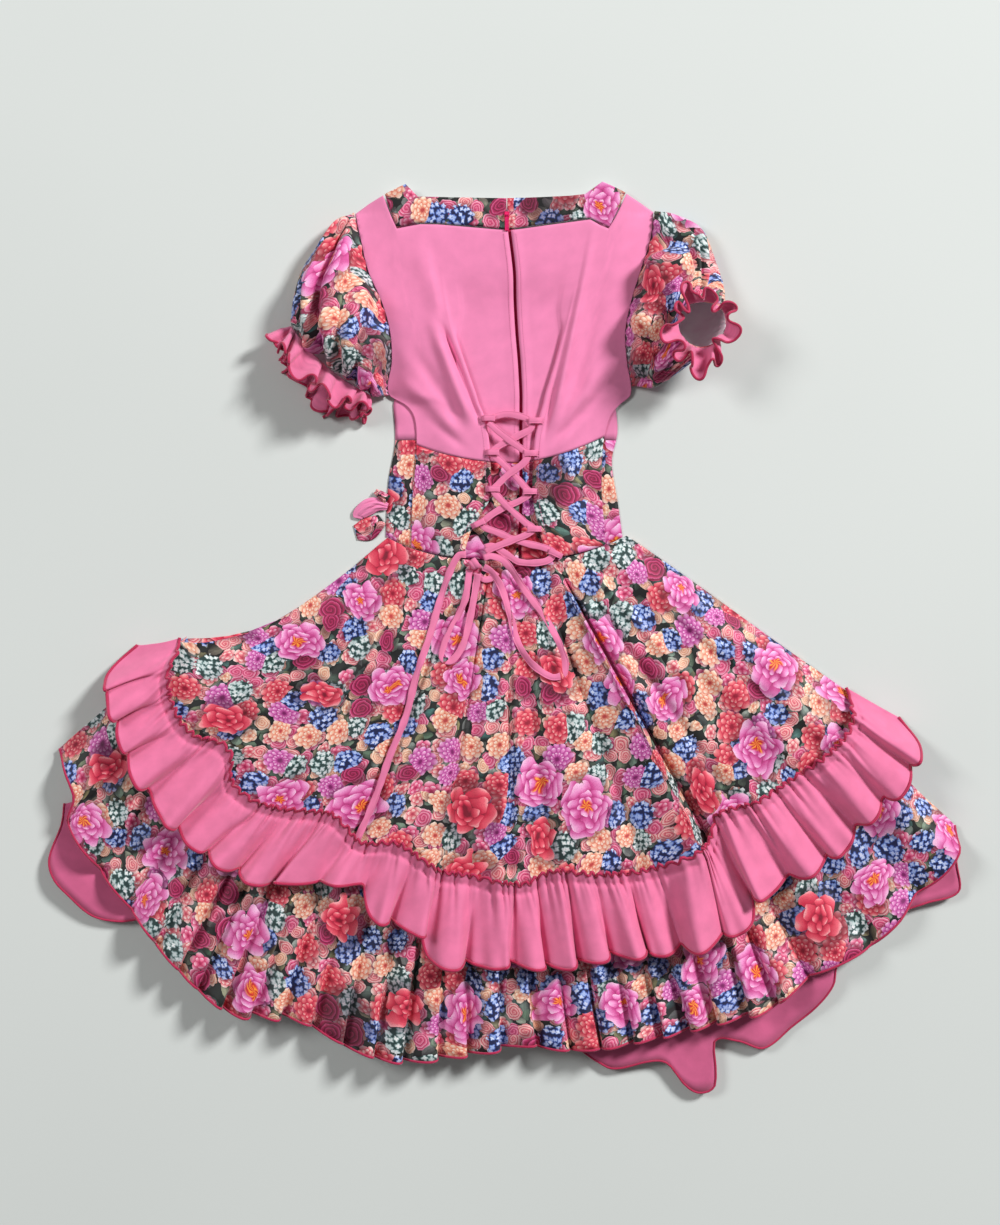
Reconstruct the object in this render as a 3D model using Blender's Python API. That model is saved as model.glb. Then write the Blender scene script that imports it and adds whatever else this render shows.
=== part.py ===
"""Cueca dress, laid flat with its back up, modelled piece by piece.

Tables and sizes are in millimetres and degrees, in the dress's own frame: +X to the right as the back
is seen, +Y towards the neck, +Z up from the surface that the dress lies on. Each piece of cloth is a
sheet of points, thickened into a closed wall. MM turns the finished points into metres.
"""
import math
from collections import namedtuple

import bmesh
import bpy
from mathutils import Matrix, Vector

MM = 0.001

# Cloth, in millimetres
WALL = 1.5                 # thickness of every cloth wall
HALF = WALL / 2
CENTRE_X = 1.59            # the middle of the dress's outline in the tables' own frame
CENTRE_Y = 0.38
SEAM = 0.3                 # half of the gap left at a seam
WAIST_GAP = 1.2            # the waist seam's, where both sides are folded
FLOOR_MID = HALF           # middle of a sheet that lies on the surface

# The skirt is a fan about one centre. Angles are in degrees from straight down, plus to the right.
FAN_X = 2.0
FAN_Y = 200.0
WAIST_RADIUS = 108.0       # at the centre back
WAIST_SPREAD = 54.0        # how much further out the waist seam is at 60 degrees

# Heights of the middle of each skirt layer over the surface
UNDER_FRONT_Z = 4.6
UNDER_BACK_Z = 6.6
SKIRT_WAIST_Z = 10.0
SKIRT_RISE = 8.0
SIDE_Z = 4.7               # where the back of the skirt comes down to the side seam
SIDE_FALL = 35.0           # over this width
SIDE_TURN = 2.1            # how far the front's side edges turn up to meet the back
OVER_RUFFLE_Z = 2.65       # front flounce where it lies on the front ruffle
SKIRT_STEPS = 7
FLOUNCE_STEPS = 3
FLOUNCE_FOLD = 24.0        # full height of the flounce's deepest folds at its hem
HEADING = 11.0             # free edge of the ruffle above its gather line

# Heights of the bodice's layers: the lacing flap, and the panel below it
FLAP_Z = 13.0
PANEL_Z = 6.6
FOLD_DEPTH = 13.0
BODICE_EDGE_Z = 2.8
BODICE_FALL = 55.0

BodiceRow = namedtuple("BodiceRow", "y side_left fold_left zip fold_right side_right folded")
BODICE = [
    BodiceRow(545, -183, -80, 4, 106, 185, 0),
    BodiceRow(511, -179, -80, 4, 106, 181, 0),
    BodiceRow(482, -173, -77, 8, 99, 178, 0),
    BodiceRow(440, -163, -75, 13, 91, 165, 0.1),
    BodiceRow(404, -147, -70, 14, 83, 154, 0.35),
    BodiceRow(368, -137, -62, 16, 74, 147, 0.6),
    BodiceRow(332, -135, -49, 19, 64, 149, 0.8),
    BodiceRow(293, -139, -35, 21, 52, 154, 1),
    BodiceRow(280, -118, -31, 21, 49, 140, 1),
    BodiceRow(266, -108, -25, 21, 45, 129, 1),
    BodiceRow(236, -105, -19, 21, 39, 121, 1),
    BodiceRow(200, -107, -17, 21, 37, 119, 1),
    BodiceRow(169, -110, -17, 21, 37, 119, 1),
    BodiceRow(132, -111, -39, 20, 44, 122, 1),
    BodiceRow(90, -112, -52, 20, 56, 125, 1),
]
FRONT_LEFT = [(90, -142), (128, -142), (188, -139), (236, -131), (290, -134)]
FRONT_RIGHT = [(90, 148), (164, 138), (212, 131), (248, 138), (290, 134)]
FRONT_SEAM_Y = 238.0
FRONT_COLUMNS = 9
FRONT_SHOULDER_Y = 505.0
FRONT_NECK_DROP = 26.0
FRONT_NECK_HALF = 1 / 3    # share of the width from the middle to where the neckline is back up
UNDERARM_Y = 293.0
SHOULDER_Y = 511.0

# Top edge of each back half: how far across from the armhole (0) to the flap's edge (1), and the height
ColumnTop = namedtuple("ColumnTop", "across y")
TOP_LEFT = [ColumnTop(0, 511), ColumnTop(0.18, 522.5), ColumnTop(0.36, 532), ColumnTop(0.48, 491.5),
            ColumnTop(0.62, 494), ColumnTop(0.78, 496.8), ColumnTop(1, 496.4)]
TOP_RIGHT = [ColumnTop(0, 513), ColumnTop(0.22, 523.5), ColumnTop(0.46, 534), ColumnTop(0.68, 491.5),
             ColumnTop(0.82, 495.5), ColumnTop(1, 502.4)]
NECK_AT_ZIP_Y = 489.3

# Cloth beyond the flap's edge: share of the flat width, then the place when folded under
FoldPoint = namedtuple("FoldPoint", "flat in_from_edge level")
FOLD = [FoldPoint(0.05, -0.1, 0.5), FoldPoint(0.12, 0.4, 0.85), FoldPoint(0.18, 0.95, 1.15),
        FoldPoint(0.22, 1.08, 1.5), FoldPoint(0.28, 0.7, 2.0)]
PANEL_START = 0.28
PANEL_COLUMNS = 3

# Neck band: pairs of points across it, from the shoulder to the zip
BandRow = namedtuple("BandRow", "inner_x inner_y outer_x outer_y")
BAND_LEFT = [BandRow(-118, 545, -140.5, 533.5), BandRow(-110, 537, -132.6, 513),
             BandRow(-103, 530, -124.6, 493.8),
             BandRow(-85, 529.6, -104, 498.4), BandRow(-66, 529.2, -78, 498), BandRow(-30, 528.5, -30, 494),
             BandRow(3.6, 528, 3.6, 490.6)]
BAND_RIGHT = [BandRow(119, 548, 144.5, 535.5), BandRow(108, 540, 136, 514), BandRow(98, 533, 127, 494.2),
              BandRow(80, 531, 104, 504.6), BandRow(50, 529.5, 60, 498.6), BandRow(25, 528.6, 25, 493.8),
              BandRow(4.4, 528, 4.4, 490.6)]

# Fan outlines: (angle, radius)
HEADER = [(-64, 438), (-62.5, 446), (-59.3, 481), (-55.7, 497), (-50.4, 502), (-45, 482), (-41.1, 509),
          (-33.7, 498), (-26.4, 473), (-21.1, 490), (-16, 478), (-10, 498), (-5.4, 499), (2, 508),
          (6.7, 496), (13.1, 509), (19.6, 520), (28.3, 520), (31.7, 496), (36.8, 509), (42.4, 516),
          (50.2, 528), (54.9, 522), (58, 484)]
RUFFLE_EDGE = [(-64.7, 497), (-62.9, 539), (-58.1, 552), (-51.5, 572), (-42, 580), (-37.7, 581),
               (-29.6, 571), (-26.6, 556), (-19.5, 527), (-17.1, 554), (-10.8, 563), (-9, 589), (0, 590),
               (7.8, 595), (12, 593), (20.3, 608), (28.6, 612), (30.6, 588), (33.9, 593), (39.8, 604),
               (47, 600), (53.3, 605), (56.4, 595), (58, 566)]
HEM = [(-58.1, 634), (-53.6, 647), (-51.8, 671), (-45.8, 682), (-39.5, 695), (-34.6, 712), (-27.7, 727),
       (-21.3, 703), (-16.2, 715), (-11.5, 719), (-7, 708), (-2.9, 697), (1.4, 688), (5.4, 698),
       (11.8, 701), (17.2, 704), (23.3, 710), (27.2, 718), (31.7, 708), (37.1, 719), (41.1, 718),
       (43.8, 709), (47.8, 714), (50.7, 702), (51.9, 690)]
UNDER_HEM = [(-53, 666), (-51.4, 685), (-49.7, 720), (-48, 732), (-45.7, 733), (-42.8, 731), (-40.6, 715),
             (-38, 686), (-20, 684), (0, 678), (7, 701), (8.7, 719), (10.2, 732), (13.8, 732),
             (15.4, 741), (16.3, 770), (17.2, 784), (18.7, 784), (19.3, 768), (20.1, 732), (22.3, 742),
             (24.1, 762), (27.4, 754), (30.2, 746), (32.6, 733), (33.6, 719), (36, 702), (40, 702),
             (42.3, 715), (44.3, 727), (47.2, 745), (49, 720), (51, 696)]

# Side edges of each layer: (share of the way out, angle)
SKIRT_LEFT = [(0, -60.5), (0.2, -57.6), (0.5, -56.8), (0.75, -59.5), (1, -62.6)]
SKIRT_RIGHT = [(0, 62), (0.2, 60.3), (0.45, 58.8), (0.7, 57.8), (1, 57.2)]
FLOUNCE_LEFT = [(0, -62.6), (0.4, -59.8), (1, -58.1)]
FLOUNCE_RIGHT = [(0, 57.2), (0.4, 53), (1, 51.8)]
RUFFLE_LEFT = [(-0.2, -62.8), (0, -62.9), (0.5, -64.0), (1, -64.7)]
RUFFLE_RIGHT = [(-0.2, 57.5), (0, 57.6), (1, 58)]
UNDER_LEFT = [(0, -44), (0.5, -50.5), (1, -53)]
UNDER_RIGHT = [(0, 44), (0.5, 49), (1, 51)]

# Main folds of the upper skirt
SkirtFold = namedtuple("SkirtFold", "angle width height lean")
SKIRT_FOLDS = [
    SkirtFold(-50, 6, 6, 0), SkirtFold(-37, 3.5, 8, 3), SkirtFold(-26, 5, 5, 0), SkirtFold(-12, 3.5, 8, 3),
    SkirtFold(-1, 3, 6, 2), SkirtFold(11, 5, 6, 0), SkirtFold(24.5, 3, 17, 14), SkirtFold(36, 5, 6, 0),
    SkirtFold(49, 4, 7, 3),
]

# Folds of the flounce and waves of the ruffle: where each starts, its height and its lean sideways
Wave = namedtuple("Wave", "start height lean")
FLOUNCE_WAVES = [
    Wave(-60, 12, 4), Wave(-53, 16, 6), Wave(-47, 12, 4), Wave(-42, 20, 8), Wave(-38, 22, 9),
    Wave(-35, 20, 8), Wave(-32.5, 24, 9), Wave(-29.5, 22, 9), Wave(-26.6, 20, 8), Wave(-23.8, 23, 9),
    Wave(-20.6, 20, 9), Wave(-17.4, 24, 10), Wave(-14, 21, 8), Wave(-11.2, 23, 9), Wave(-8, 20, 8),
    Wave(-5, 22, 9), Wave(-1.6, 23, 9), Wave(2, 20, 8), Wave(5.4, 22, 9), Wave(8.4, 24, 10),
    Wave(12, 20, 9), Wave(15, 22, 9), Wave(17.6, 24, 9), Wave(20.6, 20, 8), Wave(23.4, 22, 8),
    Wave(26.6, 24, 8), Wave(30.5, 16, 6), Wave(37, 12, 4), Wave(44, 12, 5),
]
FLOUNCE_END = 51.5
RUFFLE_WAVES = [
    Wave(-64.5, 14, 6), Wave(-61, 18, 9), Wave(-57.2, 16, 6), Wave(-53, 18, 8), Wave(-48, 20, 9),
    Wave(-42.6, 18, 10), Wave(-38, 17, 7), Wave(-33.6, 20, 9), Wave(-29.2, 16, 7), Wave(-24.2, 18, 8),
    Wave(-18.6, 20, 8), Wave(-14.4, 18, 8), Wave(-10, 22, 9), Wave(-4.6, 17, 7), Wave(0.3, 19, 8),
    Wave(4.3, 20, 9), Wave(8.2, 18, 7), Wave(12.2, 21, 8), Wave(16.4, 18, 8), Wave(20.2, 22, 9),
    Wave(25, 20, 9), Wave(30, 22, 9), Wave(35, 17, 7), Wave(39.8, 20, 8), Wave(44.4, 18, 7),
    Wave(49, 20, 8), Wave(53.8, 16, 5),
]
RUFFLE_END = 57.8

# Sleeves: rings from the armhole to the cuff. A ring is centre + along cos + up sin + bulge sin squared.
Ring = namedtuple("Ring", "centre along up bulge")
SLEEVE_LEFT = [
    Ring((-160.5, 401.5, 5.5), (-20, 110, 0), (0, 0, 9), (20, -10, 0)),
    Ring((-175.5, 390.5, 12), (-30.5, 99.5, 2), (0, 0, 23), (14, -8, 10)),
    Ring((-194, 369, 15), (-44, 79, 2), (0, 2, 30), (8, -8, 14)),
    Ring((-202.5, 351, 13), (-48.5, 61, 2), (0, 2, 26), (2, -10, 12)),
    Ring((-207.5, 333.5, 10), (-47.5, 41.5, 2), (0, 4, 13), (-4, -12, 3)),
]
SLEEVE_RIGHT = [
    Ring((174.5, 408, 5.5), (9, 105, 0), (0, 0, 9), (-26, -10, 0)),
    Ring((189, 405, 10), (19, 103, 2), (-7.5, -2.5, 22), (-16.5, -7.5, 12)),
    Ring((210, 394, 14), (30, 94, 2), (-12.5, -1.5, 24), (-7.5, 0, 10)),
    Ring((223.5, 373, 28), (28.5, 67, 2), (-29.5, -3.5, 17), (9, 8.5, 0)),
    Ring((236, 371.5, 44), (0, 26.5, 1), (-28.5, -1, 3), (0, 3, -1)),
]
SLEEVE_SIDES = 24
SLEEVE_STEPS = 8
SLEEVE_LOW = FLOOR_MID
ARMHOLE_GAP = 1.05

# Cuff ruffles: how far and which way the cloth runs out from the cuff seam, at four places round it
CuffRow = namedtuple("CuffRow", "turn dx dy dz")
CUFF_LEFT = [CuffRow(0, -14, -28, 2), CuffRow(90, -16, -40, 12), CuffRow(180, -8, -22, 6),
             CuffRow(270, -12, -32, 0)]
CUFF_RIGHT = [CuffRow(0, -4, 14, 22), CuffRow(90, -18, -4, 24), CuffRow(180, -12, -37, 18),
              CuffRow(270, 3, -6, 24)]
CUFF_GAP = 2.0             # from the middle of the sleeve's wall to the ruffle's
CUFF_WAVES = 10
CUFF_WAVE_DEPTH = 7.0
CUFF_STEPS = 3

# Lacing
LACE_WIDTH = 10.0
LACE_WALL = 1.2
LOOP_LONG = 17.0
LOOP_WIDE = 9.0
LOOP_WALL = 1.0
LOOP_PROFILE = [(-1.25, 14.55), (-1.0, 14.55), (-0.75, 17.9), (0.3, 18.2), (0.8, 17.9)]   # place, height
LacingLoop = namedtuple("LacingLoop", "name x y turn")
LOOPS = [
    LacingLoop("lacing_loop_left_1", -17, 263, 0), LacingLoop("lacing_loop_left_2", -12, 222, 0),
    LacingLoop("lacing_loop_left_3", -11, 178, 0), LacingLoop("lacing_loop_left_4", -29, 137, 25),
    LacingLoop("lacing_loop_right_1", 37, 260, 180), LacingLoop("lacing_loop_right_2", 31, 221, 180),
    LacingLoop("lacing_loop_right_3", 30, 175, 180), LacingLoop("lacing_loop_right_4", 35, 130, 180),
    LacingLoop("lacing_loop_right_5", 61, 101, 155),
]
# Routes of the lace, chosen by hand: (x, y, z)
LACE_FIRST = [(-17, 263, 14.8), (4, 268, 14.8), (29, 262, 14.8), (34, 252, 14.8), (20, 243, 14.8),
              (-6, 229, 14.8), (-14, 221, 14.8), (-4, 212, 14.8), (12, 196, 14.8), (26, 180, 14.8),
              (31, 173, 14.8), (20, 164, 14.8), (-3, 154, 14.8), (-22, 141, 14.8), (-26, 134, 14.8),
              (-8, 126, 14.8), (22, 114, 14.8), (50, 107, 14.8), (61, 101, 15.0), (51, 91, 16.3),
              (20, 90, 16.2), (4, 99, 15.2), (-13, 109, 14.8), (-23, 108, 14.8)]
LACE_SECOND = [(-18, 258, 16.5), (-6, 247, 16.5), (8, 236, 16.5), (22, 226, 16.5), (30, 219, 16.5),
               (24, 209, 16.5), (8, 197, 16.5), (-6, 184, 16.5), (-12, 177, 16.5), (-4, 166, 16.5),
               (12, 150, 16.5), (28, 136, 16.5), (36, 130, 16.5), (30, 124, 16.5), (10, 116, 16.8),
               (-10, 108, 17.0), (-22, 102, 17.0)]
BOW_LOOP_RIGHT = [(-24, 95, 18.7), (-14, 97, 18.7), (2, 90, 18.4), (28, 53, 15.0), (54, 17, 16.4),
                  (73, -25, 18.4), (72, -44, 20.0), (58, -48, 21.2), (34, -32, 19.9), (17, -6, 17.2),
                  (8, 26, 16.0), (-3, 60, 14.9), (-14, 78, 15.2), (-24, 84, 16.0)]
BOW_LOOP_LEFT = [(-41, 80, 13.0), (-46, 46, 14.8), (-60, 14, 16.4), (-72, -12, 17.8), (-73, -26, 18.8),
                 (-63, -29, 20.4), (-49, -10, 19.6), (-40, 24, 17.0), (-33, 62, 15.6), (-31, 76, 15.2)]
TAIL_LONG = [(-45, 99, 15.2), (-54, 98, 15.0), (-66, 75, 14.0), (-79, 35, 16.6), (-89, 0, 19.2),
             (-104, -44, 21.4), (-117, -95, 22.3), (-136, -142, 22.6), (-153, -191, 22.8),
             (-172, -235, 23.1), (-178, -247, 23.2)]
TAIL_SHORT = [(-30, 74, 13.7), (-23, 69, 14.1), (-14, 71, 13.2), (-8, 78, 13.2)]
KNOT_CENTRE = (-34.5, 88, 16.0)
KNOT_SIZE = (8.0, 8.5, 4.6)

# Side bow, tied at the front of the waist and seen past the left side
BOW_FLORAL_TOP = [(-140, 165), (-148, 171), (-155, 176)]
BOW_PINK = [(-140, 157), (-152, 160), (-163, 157), (-174, 149), (-176, 143)]
BOW_FLORAL_TAIL = [(-147, 142), (-155, 136), (-165, 130), (-179, 126)]
BOW_HALF_WIDTHS = {"top": (6, 5, 3), "pink": (4, 8, 10, 8, 5), "tail": (7, 11, 14, 9)}
BOW_LOOP_Z = 2.55          # on the front's edge
BOW_TOP_Z = 4.35           # on the loop

# Zip
ZIP_TAPE_WIDE = 12.0
ZIP_TAPE_WALL = 1.0
ZIP_TAPE_DROP = 1.7
SLIDER_Y = 507.0
SLIDER_LONG = 9.0
SLIDER_WIDE = 6.0
SLIDER_HIGH = 2.2
LUG_WALL = 1.0
LUG_HIGH = 3.2
PIN_RADIUS = 0.55
EYE_INNER = 0.95
EYE_OUTER = 1.75
EYE_WIDE = 2.6
TAB_LONG = 16.0
TAB_WIDE = 5.0
TAB_WALL = 1.2
TAB_DROOP = 9.0            # degrees down from level, where the tab rests

Finish = namedtuple("Finish", "colour roughness metallic")
FINISHES = {
    "pink_crepe": Finish((0.90, 0.27, 0.50), 0.75, 0.0),
    "ruffle_pink": Finish((0.80, 0.20, 0.38), 0.75, 0.0),
    "floral_print": Finish((0.55, 0.22, 0.30), 0.7, 0.0),
    "slider_enamel": Finish((0.92, 0.10, 0.35), 0.35, 0.2),
}


def clamp(value, low=0.0, high=1.0):
    return max(low, min(high, value))


def smooth(value):
    value = clamp(value)
    return value * value * (3 - 2 * value)


def lerp(a, b, share):
    return a + (b - a) * share


def look_up(table, key, column=1):
    """Read a column of a table at a key between its rows, along a smooth curve."""
    rising = table if table[0][0] < table[-1][0] else table[::-1]
    if key <= rising[0][0]:
        return rising[0][column]
    if key >= rising[-1][0]:
        return rising[-1][column]
    i = 0
    while rising[i + 1][0] < key:
        i += 1
    before = rising[max(i - 1, 0)]
    low, high = rising[i], rising[i + 1]
    after = rising[min(i + 2, len(rising) - 1)]
    span = high[0] - low[0]
    share = (key - low[0]) / span
    slope_low = (high[column] - before[column]) / max(high[0] - before[0], span) * span
    slope_high = (after[column] - low[column]) / max(after[0] - low[0], span) * span
    square, cube = share * share, share ** 3
    return ((2 * cube - 3 * square + 1) * low[column] + (cube - 2 * square + share) * slope_low
            + (3 * square - 2 * cube) * high[column] + (cube - square) * slope_high)


def finish_of(name):
    material = bpy.data.materials.get(name)
    if material is None:
        finish = FINISHES[name]
        material = bpy.data.materials.new(name)
        material.use_nodes = True
        shader = material.node_tree.nodes["Principled BSDF"]
        shader.inputs["Base Color"].default_value = (*finish.colour, 1)
        shader.inputs["Roughness"].default_value = finish.roughness
        shader.inputs["Metallic"].default_value = finish.metallic
    return material


def link(name, mesh, material):
    mesh.materials.append(finish_of(material))
    piece = bpy.data.objects.new(name, mesh)
    bpy.context.collection.objects.link(piece)
    return piece


def cloth(name, rows, material, wall=WALL, tube=False):
    """A closed wall of cloth on rows of points in millimetres. A tube joins each row's ends."""
    shape = bmesh.new()
    grid = [[shape.verts.new(Vector(point) * MM) for point in row] for row in rows]
    across = len(rows[0])
    for lower, upper in zip(grid, grid[1:]):
        for j in range(across if tube else across - 1):
            k = (j + 1) % across
            shape.faces.new((lower[j], lower[k], upper[k], upper[j]))
    bmesh.ops.recalc_face_normals(shape, faces=shape.faces)
    mesh = bpy.data.meshes.new(name)
    shape.to_mesh(mesh)
    shape.free()
    piece = link(name, mesh, material)
    thicken = piece.modifiers.new("Wall", "SOLIDIFY")
    thicken.thickness = wall * MM
    thicken.offset = 0
    thicken.use_even_offset = False
    return piece


def fan(angle, radius, height):
    turn = math.radians(angle)
    return (FAN_X + radius * math.sin(turn), FAN_Y - radius * math.cos(turn), height)


def waist_radius(angle):
    return WAIST_RADIUS + WAIST_SPREAD * (angle / 60) ** 2


def header_radius(angle):
    return look_up(HEADER, angle)


def side_share(angle, radius, left, right, fall=SIDE_FALL):
    """0 at a side edge of a layer, 1 from one fall's width inside it."""
    inside = min(angle - left, right - angle)
    return smooth(math.radians(max(inside, 0)) * radius / fall)


def skirt_height(angle, radius):
    """Height of the upper skirt's middle, with its main folds, carried on below the flounce."""
    share = clamp((radius - WAIST_RADIUS) / (header_radius(angle) - WAIST_RADIUS))
    growth = 0.12 + 0.88 * share
    folds = sum(fold.height * math.exp(-((angle - fold.angle) / fold.width) ** 2) for fold in SKIRT_FOLDS)
    beyond = clamp((radius - header_radius(angle)) / 200)
    base = SKIRT_WAIST_Z + SKIRT_RISE * smooth(share * 1.8) - 3 * beyond
    return base + folds * growth * (1 - 0.5 * beyond)


def skirt_lean(angle, radius):
    """Sideways lean of the folds, in degrees."""
    share = clamp((radius - WAIST_RADIUS) / (header_radius(angle) - WAIST_RADIUS))
    growth = 0.2 + 0.8 * share
    lean = sum(fold.lean * math.exp(-((angle - fold.angle) / fold.width) ** 2) for fold in SKIRT_FOLDS)
    return math.degrees(lean * growth / radius)


def wave_at(waves, end, number, share):
    """Angle, height and lean at a share of the way through one wave."""
    start = waves[number].start
    stop = waves[number + 1].start if number + 1 < len(waves) else end
    crest = math.sin(math.pi * share) ** 1.3 if 0 < share < 1 else 0.0
    return lerp(start, stop, share), waves[number].height * crest, waves[number].lean * crest


def wave_columns(waves, end, steps):
    columns = [wave_at(waves, end, n, k / steps) for n in range(len(waves)) for k in range(steps)]
    columns.append((end, 0.0, 0.0))
    return columns


def flounce_growth(angle, radius):
    header = header_radius(angle)
    return clamp((radius - header) / (look_up(HEM, angle) - header)) ** 1.2


def place_across(place, waves, end):
    return (place - waves[0].start) / (end - waves[0].start)


def make_skirt_back():
    """Its columns are every other one of the flounce's, so that the two edges match along their seam."""
    columns = wave_columns(FLOUNCE_WAVES, FLOUNCE_END, 2)
    rows = []
    for i in range(SKIRT_STEPS + 1):
        out = i / SKIRT_STEPS
        left, right = look_up(SKIRT_LEFT, out), look_up(SKIRT_RIGHT, out)
        row = []
        for column in columns:
            angle = lerp(left, right, place_across(column[0], FLOUNCE_WAVES, FLOUNCE_END))
            radius = lerp(waist_radius(angle) + SEAM, header_radius(angle) + 3, out)
            share = side_share(angle, radius, left, right)
            height = lerp(SIDE_Z, skirt_height(angle, radius), share)
            row.append(fan(angle + skirt_lean(angle, radius) * share, radius, height))
        rows.append(row)
    cloth("skirt_back", rows, "floral_print")


def straighten(row):
    """Put every other point midway between its neighbours, as on the skirt's edge."""
    for k in range(1, len(row) - 1, 2):
        row[k] = tuple((a + b) / 2 for a, b in zip(row[k - 1], row[k + 1]))


def make_flounce_back():
    columns = wave_columns(FLOUNCE_WAVES, FLOUNCE_END, 4)
    rows = []
    for i in range(FLOUNCE_STEPS + 1):
        out = i / FLOUNCE_STEPS
        left, right = look_up(FLOUNCE_LEFT, out), look_up(FLOUNCE_RIGHT, out)
        row = []
        for place, height, lean in columns:
            angle = lerp(left, right, place_across(place, FLOUNCE_WAVES, FLOUNCE_END))
            radius = lerp(header_radius(angle) + 3 + 2 * SEAM, look_up(HEM, angle), out)
            share = side_share(angle, radius, left, right)
            growth = flounce_growth(angle, radius)
            top = skirt_height(angle, radius) + height * growth
            shift = math.degrees(lean * growth / radius) + skirt_lean(angle, radius) * (1 - out)
            row.append(fan(angle + shift * share, radius, lerp(SIDE_Z, top, share)))
        rows.append(row)
    straighten(rows[0])
    cloth("flounce_back", rows, "floral_print")


def make_ruffle_back():
    columns = wave_columns(RUFFLE_WAVES, RUFFLE_END, 4)
    rows = []
    for out in (-1, 0, 0.3, 0.65, 1):
        spread = max(out, 0)
        left, right = look_up(RUFFLE_LEFT, spread), look_up(RUFFLE_RIGHT, spread)
        row = []
        for place, height, lean in columns:
            angle = lerp(left, right, place_across(place, RUFFLE_WAVES, RUFFLE_END))
            header = header_radius(angle)
            radius = header - HEADING if out < 0 else lerp(header, look_up(RUFFLE_EDGE, angle), out)
            growth = 0.18 + 0.82 * spread ** 0.8
            clear = FLOUNCE_FOLD * flounce_growth(angle, radius) + WALL + 1.2
            top = skirt_height(angle, radius) + clear + height * growth
            side_z = lerp(SIDE_Z + 2.4, SIDE_Z - 1.9, smooth(spread * 1.5))
            share = side_share(angle, radius, left, right, 30)
            shift = math.degrees(lean * growth / radius) + skirt_lean(angle, radius) * (1 - spread)
            row.append(fan(angle + shift * share, radius, lerp(side_z, top, share)))
        rows.append(row)
    cloth("ruffle_back", rows, "ruffle_pink")


def make_flat_fan(name, material, rings, sides, height, columns):
    """A front or under layer through rings of stated radius. It turns up a little where height says."""
    rows = []
    for ring in rings:
        row = []
        for j in range(columns + 1):
            across = j / columns
            middle = lerp(look_up(sides[0], 0.5), look_up(sides[1], 0.5), across)
            out = (ring(middle) - rings[0](middle)) / (rings[-1](middle) - rings[0](middle))
            left, right = look_up(sides[0], out), look_up(sides[1], out)
            angle = lerp(left, right, across)
            radius = ring(angle)
            inside = math.radians(min(angle - left, right - angle)) * radius
            row.append(fan(angle, radius, height(angle, radius, inside)))
        rows.append(row)
    cloth(name, rows, material)


def make_front_layers():
    def turned_up(inside):
        return SIDE_TURN * (1 - smooth(inside / 16))

    def skirt_z(angle, radius, inside):
        near_header = smooth((radius - header_radius(angle) + 60) / 40)
        return FLOOR_MID + turned_up(inside) * (1 - near_header)

    def flounce_z(angle, radius, inside):
        past = smooth((radius - look_up(RUFFLE_EDGE, angle) - 6) / 20)
        return max(lerp(OVER_RUFFLE_Z, FLOOR_MID, past), FLOOR_MID + turned_up(inside))

    make_flat_fan("skirt_front", "floral_print",
                  [lambda a: waist_radius(a) + 1, lambda a: header_radius(a) - 60,
                   lambda a: header_radius(a) - 5], (SKIRT_LEFT, SKIRT_RIGHT), skirt_z, 24)
    make_flat_fan("ruffle_front", "ruffle_pink",
                  [lambda a: header_radius(a) + 5, lambda a: look_up(RUFFLE_EDGE, a) - 6],
                  (RUFFLE_LEFT, RUFFLE_RIGHT), lambda angle, radius, inside: FLOOR_MID, 36)
    make_flat_fan("flounce_front", "floral_print",
                  [lambda a: header_radius(a) - 12, lambda a: look_up(RUFFLE_EDGE, a) + 6,
                   lambda a: look_up(RUFFLE_EDGE, a) + 30, lambda a: look_up(HEM, a) - 10],
                  (FLOUNCE_LEFT, FLOUNCE_RIGHT), flounce_z, 30)


def make_under_layers():
    def back_z(angle, radius, inside):
        beyond = smooth((radius - 640) / 90)
        ripple = math.sin(math.radians(angle * 36)) + math.sin(math.radians(angle * 23 + 40))
        return UNDER_BACK_Z + beyond * (1.6 + 0.8 * ripple)

    make_flat_fan("underskirt_front", "pink_crepe", [lambda a: 200, lambda a: 650],
                  (UNDER_LEFT, UNDER_RIGHT), lambda angle, radius, inside: UNDER_FRONT_Z, 24)
    make_flat_fan("underskirt_back", "pink_crepe",
                  [lambda a: 200, lambda a: 560, lambda a: 655, lambda a: look_up(UNDER_HEM, a)],
                  (UNDER_LEFT, UNDER_RIGHT), back_z, 64)


def bodice_row(y):
    return [look_up(BODICE, y, column) for column in range(1, 7)]


def edge_height(y):
    """Height of the back's side edge: raised along the armhole, low at the shoulder and side seam."""
    along = clamp((y - UNDERARM_Y) / (SHOULDER_Y - UNDERARM_Y))
    return BODICE_EDGE_Z + 9 * math.sin(math.pi * along) ** 0.6


def sunk_share(folded):
    """How far the panel between the flaps has sunk: it sinks before the cloth is tucked under."""
    return smooth(folded * 2.2)


def seam_y(x):
    """Height of the seam between bodice and midriff."""
    steep = 0.0018 if x < 5 else 0.0025
    return 210 + steep * (x - 5) ** 2


def waist_y(x):
    """Height of the waist seam, which is the fan's inner edge."""
    y = 95.0
    for _ in range(12):
        angle = math.degrees(math.atan2(x - FAN_X, FAN_Y - y))
        radius = waist_radius(angle)
        y = (y + FAN_Y - math.sqrt(max(radius ** 2 - (x - FAN_X) ** 2, 1.0))) / 2
    return y


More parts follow.
